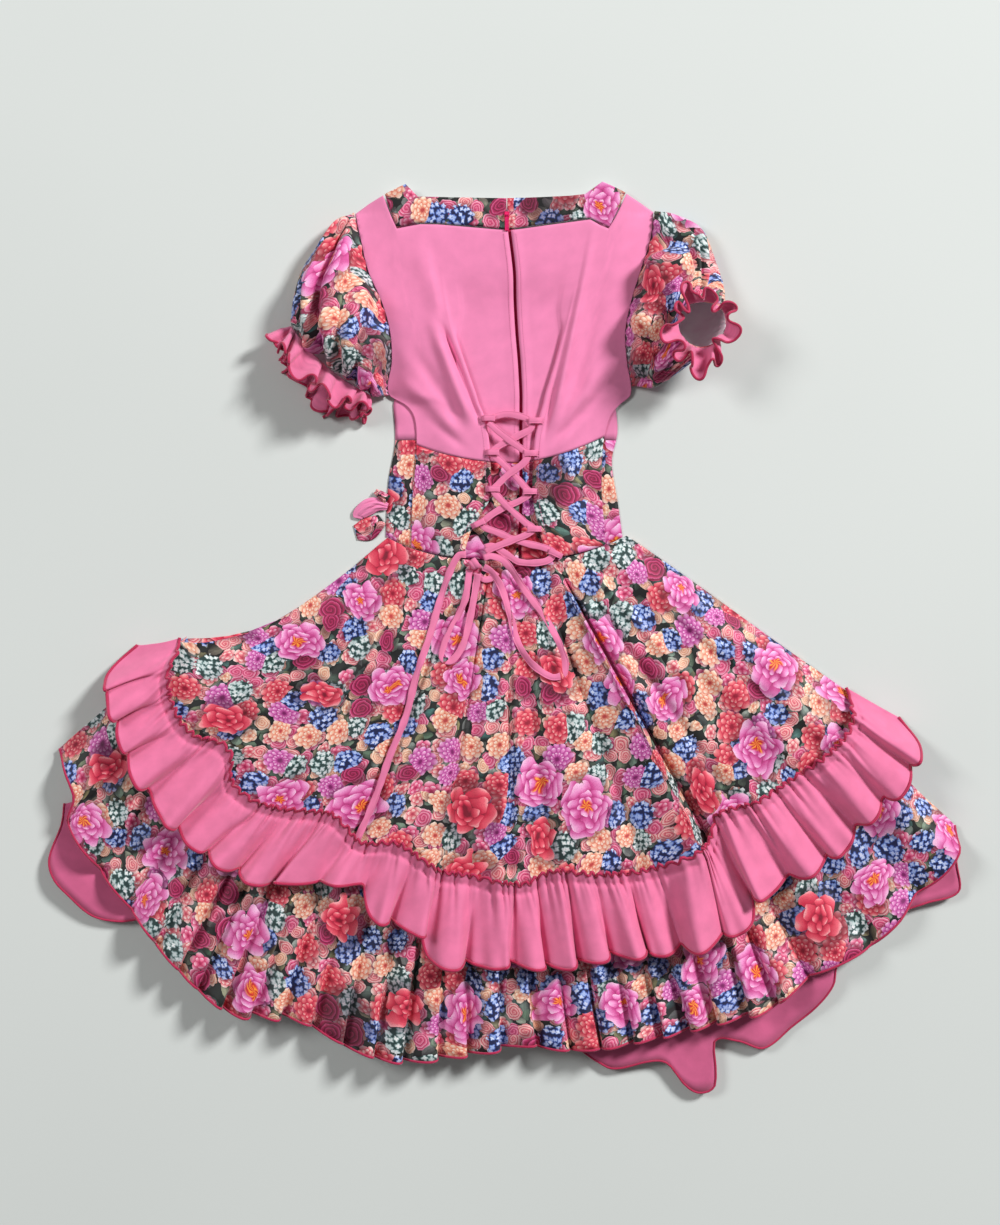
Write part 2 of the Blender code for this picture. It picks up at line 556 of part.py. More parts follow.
def back_point(side, across, beyond, y):
    """A point of a back half: across runs 0 to 1 from the side to the flap's edge, beyond is past it."""
    side_l, fold_l, zip_x, fold_r, side_r, folded = bodice_row(y)
    if side < 0:
        edge, fold, centre = side_l, fold_l, zip_x - SEAM
    else:
        edge, fold, centre = side_r, fold_r, zip_x + SEAM
    if beyond is None:
        x = lerp(edge, fold, across)
        rise = smooth(abs(x - edge) / BODICE_FALL)
        return x, y, lerp(edge_height(y), FLAP_Z, rise)
    under = 1 if fold > centre else -1
    flat_x = lerp(fold, centre, beyond.flat)
    tucked_x = fold + under * FOLD_DEPTH * beyond.in_from_edge
    if beyond.flat > PANEL_START:
        start = fold + under * FOLD_DEPTH * FOLD[-1].in_from_edge
        tucked_x = lerp(start, centre, (beyond.flat - PANEL_START) / (1 - PANEL_START))
    tucked_z = lerp(FLAP_Z, PANEL_Z, beyond.level / 2)
    tucked = smooth((folded - 0.35) / 0.65)
    return lerp(flat_x, tucked_x, tucked), y, lerp(FLAP_Z, tucked_z, sunk_share(folded))


def make_back_half(side, name, midriff_name):
    tops = TOP_LEFT if side < 0 else TOP_RIGHT
    outer = [(top.across, None, top.y) for top in tops]
    neck_at_flap = tops[-1].y
    points = FOLD + [FoldPoint(lerp(PANEL_START, 1, k / PANEL_COLUMNS), 0, 2.0)
                     for k in range(1, PANEL_COLUMNS + 1)]
    inner = [(1.01, point, lerp(neck_at_flap, NECK_AT_ZIP_Y, point.flat)) for point in points]
    columns = outer + inner

    def x_at(across, beyond, y):
        return back_point(side, across, beyond, y)[0]

    def strip(piece, material, steps, top_of, bottom_of):
        rows = []
        for i in range(steps + 1):
            row = []
            for across, beyond, top in columns:
                y = lerp(top_of(across, beyond, top), bottom_of(across, beyond), i / steps)
                row.append(back_point(side, across, beyond, y))
            rows.append(row)
        cloth(piece, rows, material)

    strip(name, "pink_crepe", 11, lambda across, beyond, top: top,
          lambda across, beyond: seam_y(x_at(across, beyond, 215)) + SEAM)
    strip(midriff_name, "floral_print", 4,
          lambda across, beyond, top: seam_y(x_at(across, beyond, 215)) - SEAM,
          lambda across, beyond: waist_y(x_at(across, beyond, 98)) + WAIST_GAP)


def make_neck_band(name, table):
    rows = []
    for i in range(3):
        row = []
        for pair in table:
            x = lerp(pair.inner_x, pair.outer_x, i / 2)
            y = lerp(pair.inner_y, pair.outer_y, i / 2)
            side_x = look_up(BODICE, min(y, SHOULDER_Y), 1 if x < 0 else 5)
            rise = smooth(abs(side_x - x) / BODICE_FALL)
            row.append((x, y, lerp(edge_height(min(y, SHOULDER_Y)), FLAP_Z, rise)))
        rows.append(row)
    cloth(name, rows, "floral_print")


def front_side(y, table, hidden):
    """Side edge of the front: under the back's armhole, then out where it shows below the arm."""
    return lerp(hidden, look_up(table, y), smooth((UNDERARM_Y + 4 - y) / 14))


def front_top(across):
    """Top edge of the front, which dips to the neckline between the shoulders."""
    return FRONT_SHOULDER_Y - FRONT_NECK_DROP * smooth((FRONT_NECK_HALF - abs(across - 0.5)) * 12)


def make_front_bodice():
    """The front lies under the back, a little wider below the arms, where it shows."""
    def strip(name, material, top_of, bottom_of, steps):
        rows = []
        for i in range(steps + 1):
            row = []
            for k in range(FRONT_COLUMNS + 1):
                across = k / FRONT_COLUMNS
                y = lerp(top_of(across), bottom_of(across), i / steps)
                left = front_side(y, FRONT_LEFT, bodice_row(y)[0] + 6)
                right = front_side(y, FRONT_RIGHT, bodice_row(y)[4] - 6)
                row.append((lerp(left, right, across), y, FLOOR_MID))
            rows.append(row)
        cloth(name, rows, material)

    seam = FRONT_SEAM_Y
    strip("bodice_front", "pink_crepe", front_top, lambda across: seam + SEAM, 8)
    strip("midriff_front", "floral_print", lambda across: seam - SEAM,
          lambda across: waist_y(lerp(-142, 145, across)) + 3, 4)


def ring_point(ring, turn):
    cosine, sine = math.cos(turn), math.sin(turn)
    point = (Vector(ring.centre) + Vector(ring.along) * cosine + Vector(ring.up) * sine
             + Vector(ring.bulge) * sine * sine)
    point.z = max(point.z, SLEEVE_LOW)
    return point


def ring_between(rings, share):
    """A ring at a share of the way along a sleeve, on smooth curves through the stated ones."""
    table = []
    for number, ring in enumerate(rings):
        values = [value for part in ring for value in part]
        table.append((number / (len(rings) - 1), *values))
    values = [look_up(table, share, column) for column in range(1, 13)]
    return Ring(values[0:3], values[3:6], values[6:9], values[9:12])


def make_sleeve(name, rings, side_column, outward):
    """A hollow tube from the armhole, whose edge follows the bodice's, to the cuff seam."""
    rows = []
    for i in range(SLEEVE_STEPS + 1):
        share = i / SLEEVE_STEPS
        ring = ring_between(rings, share)
        row = []
        for j in range(SLEEVE_SIDES):
            turn = math.tau * j / SLEEVE_SIDES
            point = ring_point(ring, turn)
            armhole = ring_point(rings[0], turn)
            shift = look_up(BODICE, armhole.y, side_column) - armhole.x + outward * ARMHOLE_GAP
            point.x += shift * (1 - share) ** 2
            row.append(point)
        rows.append(row)
    cloth(name, rows, "floral_print", tube=True)


def make_cuff_ruffle(name, ring, table):
    """Cloth that runs out from the cuff seam, rising first and then spreading, in waves."""
    around = table + [CuffRow(360, *table[0][1:])]
    sides = CUFF_WAVES * 4
    rows = []
    for i in range(CUFF_STEPS + 1):
        out = i / CUFF_STEPS
        row = []
        for j in range(sides):
            degrees = 360 * j / sides
            turn = math.radians(degrees)
            seam = ring_point(ring, turn)
            ahead = ring_point(ring, turn + 0.05) - ring_point(ring, turn - 0.05)
            run = Vector([look_up(around, degrees, column) for column in (1, 2, 3)])
            across = ahead.cross(run).normalized()
            wave = math.sin(CUFF_WAVES * turn + 0.6) * CUFF_WAVE_DEPTH * out ** 1.3
            point = seam + run.normalized() * CUFF_GAP + across * wave
            point += Vector((run.x * out ** 1.3, run.y * out ** 1.3, run.z * out ** 0.8))
            point.z = max(point.z, SLEEVE_LOW)
            row.append(point)
        rows.append(row)
    cloth(name, rows, "ruffle_pink", tube=True)


def smooth_route(route, spacing):
    """Evenly spaced points on a smooth curve through a route's own points."""
    points = [Vector(point) for point in route]
    lengths = [0.0]
    for a, b in zip(points, points[1:]):
        lengths.append(lengths[-1] + (b - a).length)
    table = [(length, *point) for length, point in zip(lengths, points)]
    count = max(2, round(lengths[-1] / spacing))
    return [Vector([look_up(table, lengths[-1] * k / count, column) for column in (1, 2, 3)])
            for k in range(count + 1)]


def make_lace(name, route, spacing=11.0):
    points = smooth_route(route, spacing)
    rows = []
    for k, point in enumerate(points):
        ahead = points[min(k + 1, len(points) - 1)] - points[max(k - 1, 0)]
        flat = Vector((ahead.y, -ahead.x, 0)).normalized() * LACE_WIDTH / 2
        rows.append([point - flat, point + flat])
    return cloth(name, rows, "pink_crepe", wall=LACE_WALL)


def make_block(name, centre, size, material, bevel=0.0, turn=0.0):
    shape = bmesh.new()
    bmesh.ops.create_cube(shape, size=1)
    for vert in shape.verts:
        vert.co = Vector((vert.co.x * size[0], vert.co.y * size[1], vert.co.z * size[2])) * MM
    if bevel:
        bmesh.ops.bevel(shape, geom=shape.edges[:], offset=bevel * MM, segments=2, affect="EDGES")
    mesh = bpy.data.meshes.new(name)
    shape.to_mesh(mesh)
    shape.free()
    piece = link(name, mesh, material)
    piece.location = Vector(centre) * MM
    piece.rotation_euler = (0, 0, math.radians(turn))
    return piece


def make_lacing_loop(loop):
    """A sewn strip: one end is down on the flap's edge, and the rest lies over the lace."""
    turn = math.radians(loop.turn)
    along = Vector((math.cos(turn), math.sin(turn), 0))
    wide = Vector((-math.sin(turn), math.cos(turn), 0)) * LOOP_WIDE / 2
    rows = []
    for place, height in LOOP_PROFILE:
        point = Vector((loop.x, loop.y, height)) + along * place * LOOP_LONG / 2
        rows.append([point - wide, point + wide])
    cloth(loop.name, rows, "pink_crepe", wall=LOOP_WALL)


def make_knot():
    shape = bmesh.new()
    bmesh.ops.create_uvsphere(shape, u_segments=12, v_segments=8, radius=1)
    for vert in shape.verts:
        vert.co = Vector([vert.co[axis] * KNOT_SIZE[axis] for axis in range(3)]) * MM
    mesh = bpy.data.meshes.new("lace_knot")
    shape.to_mesh(mesh)
    shape.free()
    piece = link("lace_knot", mesh, "pink_crepe")
    piece.location = Vector(KNOT_CENTRE) * MM


def make_side_bow():
    strips = (("side_bow_top", BOW_FLORAL_TOP, "top", "floral_print", BOW_TOP_Z),
              ("side_bow_loop", BOW_PINK, "pink", "pink_crepe", BOW_LOOP_Z),
              ("side_bow_tail", BOW_FLORAL_TAIL, "tail", "floral_print", FLOOR_MID))
    for name, route, widths, material, height in strips:
        points = [Vector((x, y, height)) for x, y in route]
        rows = []
        for k, point in enumerate(points):
            ahead = points[min(k + 1, len(points) - 1)] - points[max(k - 1, 0)]
            flat = Vector((ahead.y, -ahead.x, 0)).normalized() * BOW_HALF_WIDTHS[widths][k]
            rows.append([point - flat, point, point + flat])
        cloth(name, rows, material)


def make_zip():
    """The tape under the centre back, which shows as the line that the two halves leave."""
    rows = []
    for k in range(15):
        y = lerp(SHOULDER_Y - 8, 100, k / 14)
        zip_x, folded = bodice_row(y)[2], bodice_row(y)[5]
        height = lerp(FLAP_Z, PANEL_Z, sunk_share(folded)) - ZIP_TAPE_DROP
        rows.append([(zip_x - ZIP_TAPE_WIDE / 2, y, height), (zip_x + ZIP_TAPE_WIDE / 2, y, height)])
    cloth("zip_tape", rows, "pink_crepe", wall=ZIP_TAPE_WALL)


def make_slider_and_tab():
    """The slider at the top of the zip, two lugs with a pin between them, and the tab on the pin."""
    base_z = FLAP_Z + HALF + 0.3
    pin_z = base_z + SLIDER_HIGH + 2.0
    slider = make_block("zip_slider", (4, SLIDER_Y, base_z + SLIDER_HIGH / 2),
                        (SLIDER_WIDE, SLIDER_LONG, SLIDER_HIGH), "slider_enamel", bevel=0.5)
    tools = []
    for side in (-1, 1):
        x = 4 + side * (EYE_WIDE / 2 + 0.3 + LUG_WALL / 2)
        tools.append(make_block("lug", (x, SLIDER_Y, base_z + SLIDER_HIGH + LUG_HIGH / 2 - 0.4),
                                (LUG_WALL, 3.4, LUG_HIGH + 0.4), "slider_enamel"))
    bpy.ops.mesh.primitive_cylinder_add(vertices=12, radius=PIN_RADIUS * MM,
                                        depth=(EYE_WIDE + 0.6 + LUG_WALL) * MM,
                                        location=Vector((4, SLIDER_Y, pin_z)) * MM,
                                        rotation=(0, math.pi / 2, 0))
    tools.append(bpy.context.object)
    for tool in tools:
        join = slider.modifiers.new("Join", "BOOLEAN")
        join.operation = "UNION"
        join.object = tool
    make_tab(pin_z)
    settle([slider])
    for tool in tools:
        bpy.data.objects.remove(tool, do_unlink=True)


def make_tab(pin_z):
    """A ring round the pin, a neck and a flat grip, joined, then turned down to rest on the cloth."""
    bpy.ops.mesh.primitive_cylinder_add(vertices=16, radius=EYE_OUTER * MM, depth=EYE_WIDE * MM,
                                        location=Vector((4, SLIDER_Y, pin_z)) * MM,
                                        rotation=(0, math.pi / 2, 0))
    tab = bpy.context.object
    tab.name = "zip_pull_tab"
    tab.data.materials.append(finish_of("slider_enamel"))
    grip_y = SLIDER_Y - EYE_OUTER - 0.9 - TAB_LONG / 2
    grip = make_block("grip", (4, grip_y, pin_z), (TAB_WIDE, TAB_LONG, TAB_WALL), "slider_enamel",
                      bevel=0.3)
    neck = make_block("neck", (4, SLIDER_Y - EYE_OUTER - 0.6, pin_z), (EYE_WIDE - 0.4, 2.0, TAB_WALL - 0.1),
                      "slider_enamel")
    bpy.ops.mesh.primitive_cylinder_add(vertices=16, radius=EYE_INNER * MM, depth=EYE_WIDE * 2 * MM,
                                        location=Vector((4, SLIDER_Y, pin_z)) * MM,
                                        rotation=(0, math.pi / 2, 0))
    bore = bpy.context.object
    for operation, tool in (("UNION", neck), ("UNION", grip), ("DIFFERENCE", bore)):
        change = tab.modifiers.new(operation.title(), "BOOLEAN")
        change.operation = operation
        change.object = tool
    settle([tab])
    for tool in (grip, neck, bore):
        bpy.data.objects.remove(tool, do_unlink=True)
    pin = Matrix.Translation(Vector((4, SLIDER_Y, pin_z)) * MM)
    droop = Matrix.Rotation(math.radians(TAB_DROOP), 4, "X")
    tab.matrix_world = pin @ droop @ pin.inverted() @ tab.matrix_world


def settle(pieces):
    """Turn each piece's modifiers into its own mesh, so that their tools can go."""
    shown = bpy.context.evaluated_depsgraph_get()
    for piece in pieces:
        shown.update()
        mesh = bpy.data.meshes.new_from_object(piece.evaluated_get(shown))
        piece.modifiers.clear()
        piece.data = mesh


def centre_on_origin():
    """Bring the middle of the outline to the origin, on the surface that the dress lies on."""
    for piece in bpy.data.objects:
        piece.location -= Vector((CENTRE_X, CENTRE_Y, 0)) * MM


def main():
    for old in list(bpy.data.objects):
        bpy.data.objects.remove(old, do_unlink=True)
    make_front_layers()
    make_under_layers()
    make_skirt_back()
    make_flounce_back()
    make_ruffle_back()
    make_front_bodice()
    make_back_half(-1, "bodice_back_left", "midriff_back_left")
    make_back_half(1, "bodice_back_right", "midriff_back_right")
    make_neck_band("neck_band_left", BAND_LEFT)
    make_neck_band("neck_band_right", BAND_RIGHT)
    make_sleeve("sleeve_left", SLEEVE_LEFT, 1, -1)
    make_sleeve("sleeve_right", SLEEVE_RIGHT, 5, 1)
    make_cuff_ruffle("cuff_ruffle_left", SLEEVE_LEFT[-1], CUFF_LEFT)
    make_cuff_ruffle("cuff_ruffle_right", SLEEVE_RIGHT[-1], CUFF_RIGHT)
    make_zip()
    make_slider_and_tab()
    for loop in LOOPS:
        make_lacing_loop(loop)
    make_lace("lace_run_first", LACE_FIRST)
    make_lace("lace_run_second", LACE_SECOND)
    make_lace("lace_bow_right", BOW_LOOP_RIGHT)
    make_lace("lace_bow_left", BOW_LOOP_LEFT)
    make_lace("lace_tail_long", TAIL_LONG, 14.0)
    make_lace("lace_tail_short", TAIL_SHORT)
    make_knot()
    make_side_bow()
    centre_on_origin()


main()
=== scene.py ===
"""Cueca dress, laid flat with its back up: cloth, print, edges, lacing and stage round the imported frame.

Tables are in millimetres and degrees in the dress's own frame, as its solids are: +X to the right as
the back is seen, +Y towards the neck, +Z up from the surface. MM turns finished points into metres.
"""
import math
from collections import namedtuple

import bmesh
import bpy
import numpy as np
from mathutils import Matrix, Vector


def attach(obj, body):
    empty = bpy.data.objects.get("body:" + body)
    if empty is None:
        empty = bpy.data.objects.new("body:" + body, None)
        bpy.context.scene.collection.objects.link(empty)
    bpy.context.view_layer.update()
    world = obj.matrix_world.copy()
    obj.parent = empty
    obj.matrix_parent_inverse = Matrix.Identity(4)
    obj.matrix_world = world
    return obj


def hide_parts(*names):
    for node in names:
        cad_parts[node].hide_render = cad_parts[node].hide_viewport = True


bl_info = {
    "name": "Cueca Dress",
    "version": (1, 0, 0),
    "blender": (4, 5, 0),
    "location": "3D View > Sidebar > Dress",
    "description": "Makes a cueca dress, laid flat with its back up, piece by piece",
    "category": "Object",
}

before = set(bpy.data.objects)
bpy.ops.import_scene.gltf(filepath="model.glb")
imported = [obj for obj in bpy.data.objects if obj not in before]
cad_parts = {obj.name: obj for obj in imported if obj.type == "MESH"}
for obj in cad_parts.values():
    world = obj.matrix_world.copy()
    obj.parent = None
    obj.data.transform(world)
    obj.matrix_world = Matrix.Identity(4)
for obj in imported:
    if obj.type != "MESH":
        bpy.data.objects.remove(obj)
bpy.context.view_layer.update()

MM = 0.001
CENTRE_X = 1.59
CENTRE_Y = 0.38
BODY = "dress"

# Cloth, in millimetres
WALL = 1.5                 # wall of the solids, which the layers' heights allow for
HALF = WALL / 2            # also the height of the lowest cloth's middle
SEAM = 0.3
WAIST_GAP = 1.2

# The skirt is a fan about one centre. Angles are in degrees from straight down, plus to the right.
FAN_X = 2.0
FAN_Y = 200.0
WAIST_RADIUS = 108.0
WAIST_SPREAD = 54.0
UNDER_FRONT_Z = 4.6
UNDER_BACK_Z = 6.6
SKIRT_WAIST_Z = 10.0
SKIRT_RISE = 8.0
SIDE_Z = 4.7
SIDE_FALL = 35.0
SIDE_TURN = 2.1
OVER_RUFFLE_Z = 2.65
FLOUNCE_FOLD = 24.0
HEADING = 11.0
BELOW_HEADER = 200         # length over which the skirt's folds fade to half under the flounce
OVER_FLOUNCE = WALL + 3.7  # clear height of the ruffle over the flounce
FLAT_STEPS = 8             # rows between two stated rings of a flat layer

# Heights of the bodice's layers
FLAP_Z = 13.0
PANEL_Z = 6.6
FOLD_DEPTH = 13.0
BODICE_EDGE_Z = 2.8
BODICE_FALL = 55.0

# Columns of the bodice's table
SIDE_LEFT, FOLD_LEFT, ZIP, FOLD_RIGHT, SIDE_RIGHT, FOLDED = range(1, 7)
SIDE_COLUMN = {-1: SIDE_LEFT, 1: SIDE_RIGHT}
FOLD_COLUMN = {-1: FOLD_LEFT, 1: FOLD_RIGHT}

BodiceRow = namedtuple("BodiceRow", "y side_left fold_left zip fold_right side_right folded")
BODICE = [BodiceRow(*row) for row in (
    (545, -183, -80, 4, 106, 185, 0), (511, -179, -80, 4, 106, 181, 0), (482, -173, -77, 8, 99, 178, 0),
    (440, -163, -75, 13, 91, 165, 0.1), (404, -147, -70, 14, 83, 154, 0.35),
    (368, -137, -62, 16, 74, 147, 0.6), (332, -135, -49, 19, 64, 149, 0.8),
    (293, -139, -35, 21, 52, 154, 1), (280, -118, -31, 21, 49, 140, 1), (266, -108, -25, 21, 45, 129, 1),
    (236, -105, -19, 21, 39, 121, 1), (200, -107, -17, 21, 37, 119, 1), (169, -110, -17, 21, 37, 119, 1),
    (132, -111, -39, 20, 44, 122, 1), (90, -112, -52, 20, 56, 125, 1),
)]
FRONT_LEFT = [(90, -142), (128, -142), (188, -139), (236, -131), (290, -134)]
FRONT_RIGHT = [(90, 148), (164, 138), (212, 131), (248, 138), (290, 134)]
FRONT_SEAM_Y = 238.0
FRONT_SHOULDER_Y = 505.0
FRONT_NECK_DROP = 26.0
FRONT_NECK_HALF = 1 / 3
UNDERARM_Y = 293.0
SHOULDER_Y = 511.0

ColumnTop = namedtuple("ColumnTop", "across y")
TOP_LEFT = [ColumnTop(*row) for row in (
    (0, 511), (0.18, 522.5), (0.36, 532), (0.48, 491.5), (0.62, 494), (0.78, 496.8), (1, 496.4),
)]
TOP_RIGHT = [ColumnTop(*row) for row in (
    (0, 513), (0.22, 523.5), (0.46, 534), (0.68, 491.5), (0.82, 495.5), (1, 502.4),
)]
NECK_AT_ZIP_Y = 489.3
FoldPoint = namedtuple("FoldPoint", "flat in_from_edge level")
FOLD = [FoldPoint(0.05, -0.1, 0.5), FoldPoint(0.12, 0.4, 0.85), FoldPoint(0.18, 0.95, 1.15),
        FoldPoint(0.22, 1.08, 1.5), FoldPoint(0.28, 0.7, 2.0)]
PANEL_START = 0.28
ACROSS_STEPS = 16
PAST_END = 0.2             # share of its length by which a crease runs past its ends
ZIP_RIDGE = 1.1            # rise of the pressed edges beside the zip

# Soft creases drawn from the lacing up and out over the bodice: from, to, width and height of each
Crease = namedtuple("Crease", "x0 y0 x1 y1 width height")
BODICE_CREASES = [Crease(*row) for row in (
    (-70, 366, -28, 264, 4.2, -12.0), (-84, 372, -44, 268, 8, 7.0), (-58, 384, -22, 300, 9, 2.2),
    (-74, 398, -62, 356, 7, -2.4), (-104, 470, -66, 372, 14, 3.0), (-112, 348, -54, 262, 9, -3.6),
    (-128, 316, -62, 252, 7, 3.2), (-122, 286, -52, 232, 6, -3.0), (-142, 430, -122, 330, 8, 1.8),
    (-40, 470, -28, 380, 11, -1.4), (90, 474, 53, 268, 3.6, -10.0), (101, 478, 64, 272, 7, 6.6),
    (78, 430, 44, 300, 8, 2.0), (120, 420, 84, 300, 10, -3.4), (140, 352, 76, 262, 8, 3.4),
    (128, 306, 66, 240, 6, -3.2), (118, 276, 62, 226, 6, 1.8), (152, 440, 134, 350, 8, 1.8),
    (60, 480, 52, 400, 12, -1.2),
)]

BandRow = namedtuple("BandRow", "inner_x inner_y outer_x outer_y")
BAND_LEFT = [BandRow(*row) for row in (
    (-118, 545, -143, 533.5), (-110, 537, -136, 513), (-103, 530, -128.2, 492.8),
    (-85, 529.6, -104, 498.4), (-66, 529.2, -78, 498), (-30, 528.5, -30, 494), (3.6, 528, 3.6, 490.6),
)]
BAND_RIGHT = [BandRow(*row) for row in (
    (119, 548, 147, 535.5), (108, 540, 137.4, 514), (98, 533, 127.2, 493.4), (80, 531, 104, 504.6),
    (50, 529.5, 60, 498.6), (25, 528.6, 25, 493.8), (4.4, 528, 4.4, 490.6),
)]

HEADER = [
    (-64, 438), (-62.5, 446), (-59.3, 481), (-55.7, 497), (-50.4, 502), (-45, 482), (-41.1, 509),
    (-33.7, 498), (-26.4, 473), (-21.1, 490), (-16, 478), (-10, 498), (-5.4, 499), (2, 508), (6.7, 496),
    (13.1, 509), (19.6, 520), (28.3, 520), (31.7, 496), (36.8, 509), (42.4, 516), (50.2, 528),
    (54.9, 522), (58, 484),
]
RUFFLE_EDGE = [
    (-64.7, 497), (-62.9, 539), (-58.1, 552), (-51.5, 572), (-42, 580), (-37.7, 581), (-29.6, 571),
    (-26.6, 556), (-19.5, 527), (-17.1, 554), (-10.8, 563), (-9, 589), (0, 590), (7.8, 595), (12, 593),
    (20.3, 608), (28.6, 612), (30.6, 588), (33.9, 593), (39.8, 604), (47, 600), (53.3, 605), (56.4, 595),
    (58, 566),
]
HEM = [
    (-58.1, 634), (-53.6, 647), (-51.8, 671), (-45.8, 682), (-39.5, 695), (-34.6, 712), (-27.7, 727),
    (-21.3, 703), (-16.2, 715), (-11.5, 719), (-7, 708), (-2.9, 697), (1.4, 688), (5.4, 698), (11.8, 701),
    (17.2, 704), (23.3, 710), (27.2, 718), (31.7, 708), (37.1, 719), (41.1, 718), (43.8, 709),
    (47.8, 714), (50.7, 702), (51.9, 690),
]
UNDER_HEM = [
    (-53, 666), (-51.4, 685), (-49.7, 720), (-48, 732), (-45.7, 733), (-42.8, 731), (-40.6, 715),
    (-38, 686), (-20, 684), (0, 678), (7, 701), (8.7, 719), (10.2, 732), (13.8, 732), (15.4, 741),
    (16.3, 770), (17.2, 784), (18.7, 784), (19.3, 768), (20.1, 732), (22.3, 742), (24.1, 762),
    (27.4, 754), (30.2, 746), (32.6, 733), (33.6, 719), (36, 702), (40, 702), (42.3, 715), (44.3, 727),
    (47.2, 745), (49, 720), (51, 696),
]

SKIRT_LEFT = [(0, -60.5), (0.2, -57.6), (0.5, -56.8), (0.75, -59.5), (1, -62.6)]
SKIRT_RIGHT = [(0, 62), (0.2, 60.3), (0.45, 58.8), (0.7, 57.8), (1, 57.2)]
FLOUNCE_LEFT = [(0, -62.6), (0.4, -59.8), (1, -58.1)]
FLOUNCE_RIGHT = [(0, 57.2), (0.4, 53), (1, 51.8)]
RUFFLE_LEFT = [(-0.2, -62.8), (0, -62.9), (0.5, -64.0), (1, -64.7)]
RUFFLE_RIGHT = [(-0.2, 57.5), (0, 57.6), (1, 58)]
UNDER_LEFT = [(0, -44), (0.5, -50.5), (1, -53)]
UNDER_RIGHT = [(0, 44), (0.5, 49), (1, 51)]

SkirtFold = namedtuple("SkirtFold", "angle width height lean")
SKIRT_FOLDS = [SkirtFold(*row) for row in (
    (-50, 5, 7, 0), (-37, 2.6, 10, 6), (-26, 4, 6, 0), (-12, 2.6, 10, 6), (-1, 2.4, 8, 5), (11, 4, 7, 0),
    (24.5, 2.6, 19, 20), (36, 4, 7, 0), (49, 3.2, 9, 6),
)]
# Smaller folds of the upper skirt, with the shares of the way out that each runs between
SkirtCrease = namedtuple("SkirtCrease", "angle width start stop height")
SKIRT_CREASES = [SkirtCrease(*row) for row in (
    (-55, 1.4, 0.15, 0.8, 4.0), (-45, 1.1, 0.02, 0.6, 4.4), (-41, 1.2, 0.3, 1.1, -5.0),
    (-38.4, 1.0, 0.06, 1.1, -6.0), (-33, 1.2, 0.0, 0.55, 4.4), (-30, 1.5, 0.4, 1.1, 4.6),
    (-22, 1.0, 0.05, 1.1, -6.0), (-17.5, 1.2, 0.1, 1.1, 5.0), (-9.5, 0.9, 0.0, 1.1, -6.5),
    (-4.6, 1.3, 0.3, 1.1, 4.4), (0.4, 0.8, 0.3, 1.1, -6.0), (2.6, 0.9, 0.0, 0.9, 4.6),
    (6.2, 1.0, 0.35, 1.1, -4.6), (15.5, 1.1, 0.0, 0.7, 4.6), (19, 0.9, 0.15, 1.1, -5.4),
    (26.6, 1.1, 0.02, 1.1, 8.0), (28.8, 0.75, 0.02, 1.1, -13.0), (31.2, 1.2, 0.1, 0.8, 4.6),
    (34.6, 1.0, 0.1, 1.1, -5.0), (41, 1.3, 0.0, 0.7, 4.4), (45, 1.3, 0.4, 1.1, 4.6),
    (48, 0.9, 0.2, 1.1, -4.6), (54, 1.3, 0.1, 0.9, 4.0),
)]

Wave = namedtuple("Wave", "start height lean")
FLOUNCE_WAVES = [Wave(*row) for row in (
    (-60, 12, 6), (-53, 16, 9), (-47, 12, 6), (-42, 20, 15), (-38, 22, 22), (-35, 20, 17),
    (-32.5, 24, 23), (-29.5, 22, 17), (-26.6, 20, 19), (-23.8, 23, 16), (-20.6, 20, 20), (-17.4, 24, 22),
    (-14, 21, 16), (-11.2, 23, 18), (-8, 20, 19), (-5, 22, 15), (-1.6, 23, 21), (2, 20, 14),
    (5.4, 22, 10), (8.4, 24, -12), (12, 20, -17), (15, 22, -19), (17.6, 24, -16), (20.6, 20, -20),
    (23.4, 22, -17), (26.6, 24, -19), (30.5, 16, -9), (37, 12, -6), (44, 12, 6),
)]
FLOUNCE_END = 51.5
RUFFLE_WAVES = [Wave(*row) for row in (
    (-64.5, 14, 12), (-61, 18, 21), (-57.2, 16, 12), (-53, 18, 17), (-48, 20, 27), (-42.6, 18, 7),
    (-38, 17, 5), (-33.6, 20, -5), (-29.2, 18, -21), (-24.2, 18, -8), (-18.6, 20, 11), (-14.4, 20, 25),
    (-10, 22, 13), (-4.6, 17, 16), (0.3, 20, 23), (4.3, 20, 12), (8.2, 18, 15), (12.2, 21, 11),
    (16.4, 18, -3), (20.2, 22, -10), (25, 20, -8), (30, 22, -24), (35, 17, -9), (39.8, 20, -12),
    (44.4, 18, -7), (49, 20, -14), (53.8, 16, -5),
)]
RUFFLE_END = 57.8
HEM_SCALLOP = 9.0          # how far the ruffle's hem reaches out and draws back along each wave
BULGE = 0.06               # share of its width by which a wave swells over the gaps beside it
HEM_RIPPLE = 1.8           # small waves that ride on the ruffle's broad ones towards its hem
RUFFLE_LIFT = 1.2
UNEVEN = 0.618             # step between one wave's shape and the next one's, round a circle of shapes
LEAN_SHARE = 0.8           # share of the solids' lean that the bulging waves keep
GATHER_PITCH = 1.15        # degrees between the small gathers along the ruffle's gather line
GATHER_HEIGHT = 4.8
SECOND_GATHERS = 4.2       # height of the broader gathers among the small ones
USUAL_WAVE = 20            # height that the scallops of the ruffle's hem are reckoned from
RUFFLE_DEPTH = 85
HEADING_ZIGZAG = 4.0
GATHER_LINE = 1.8          # depth of the dip that the gathering thread draws

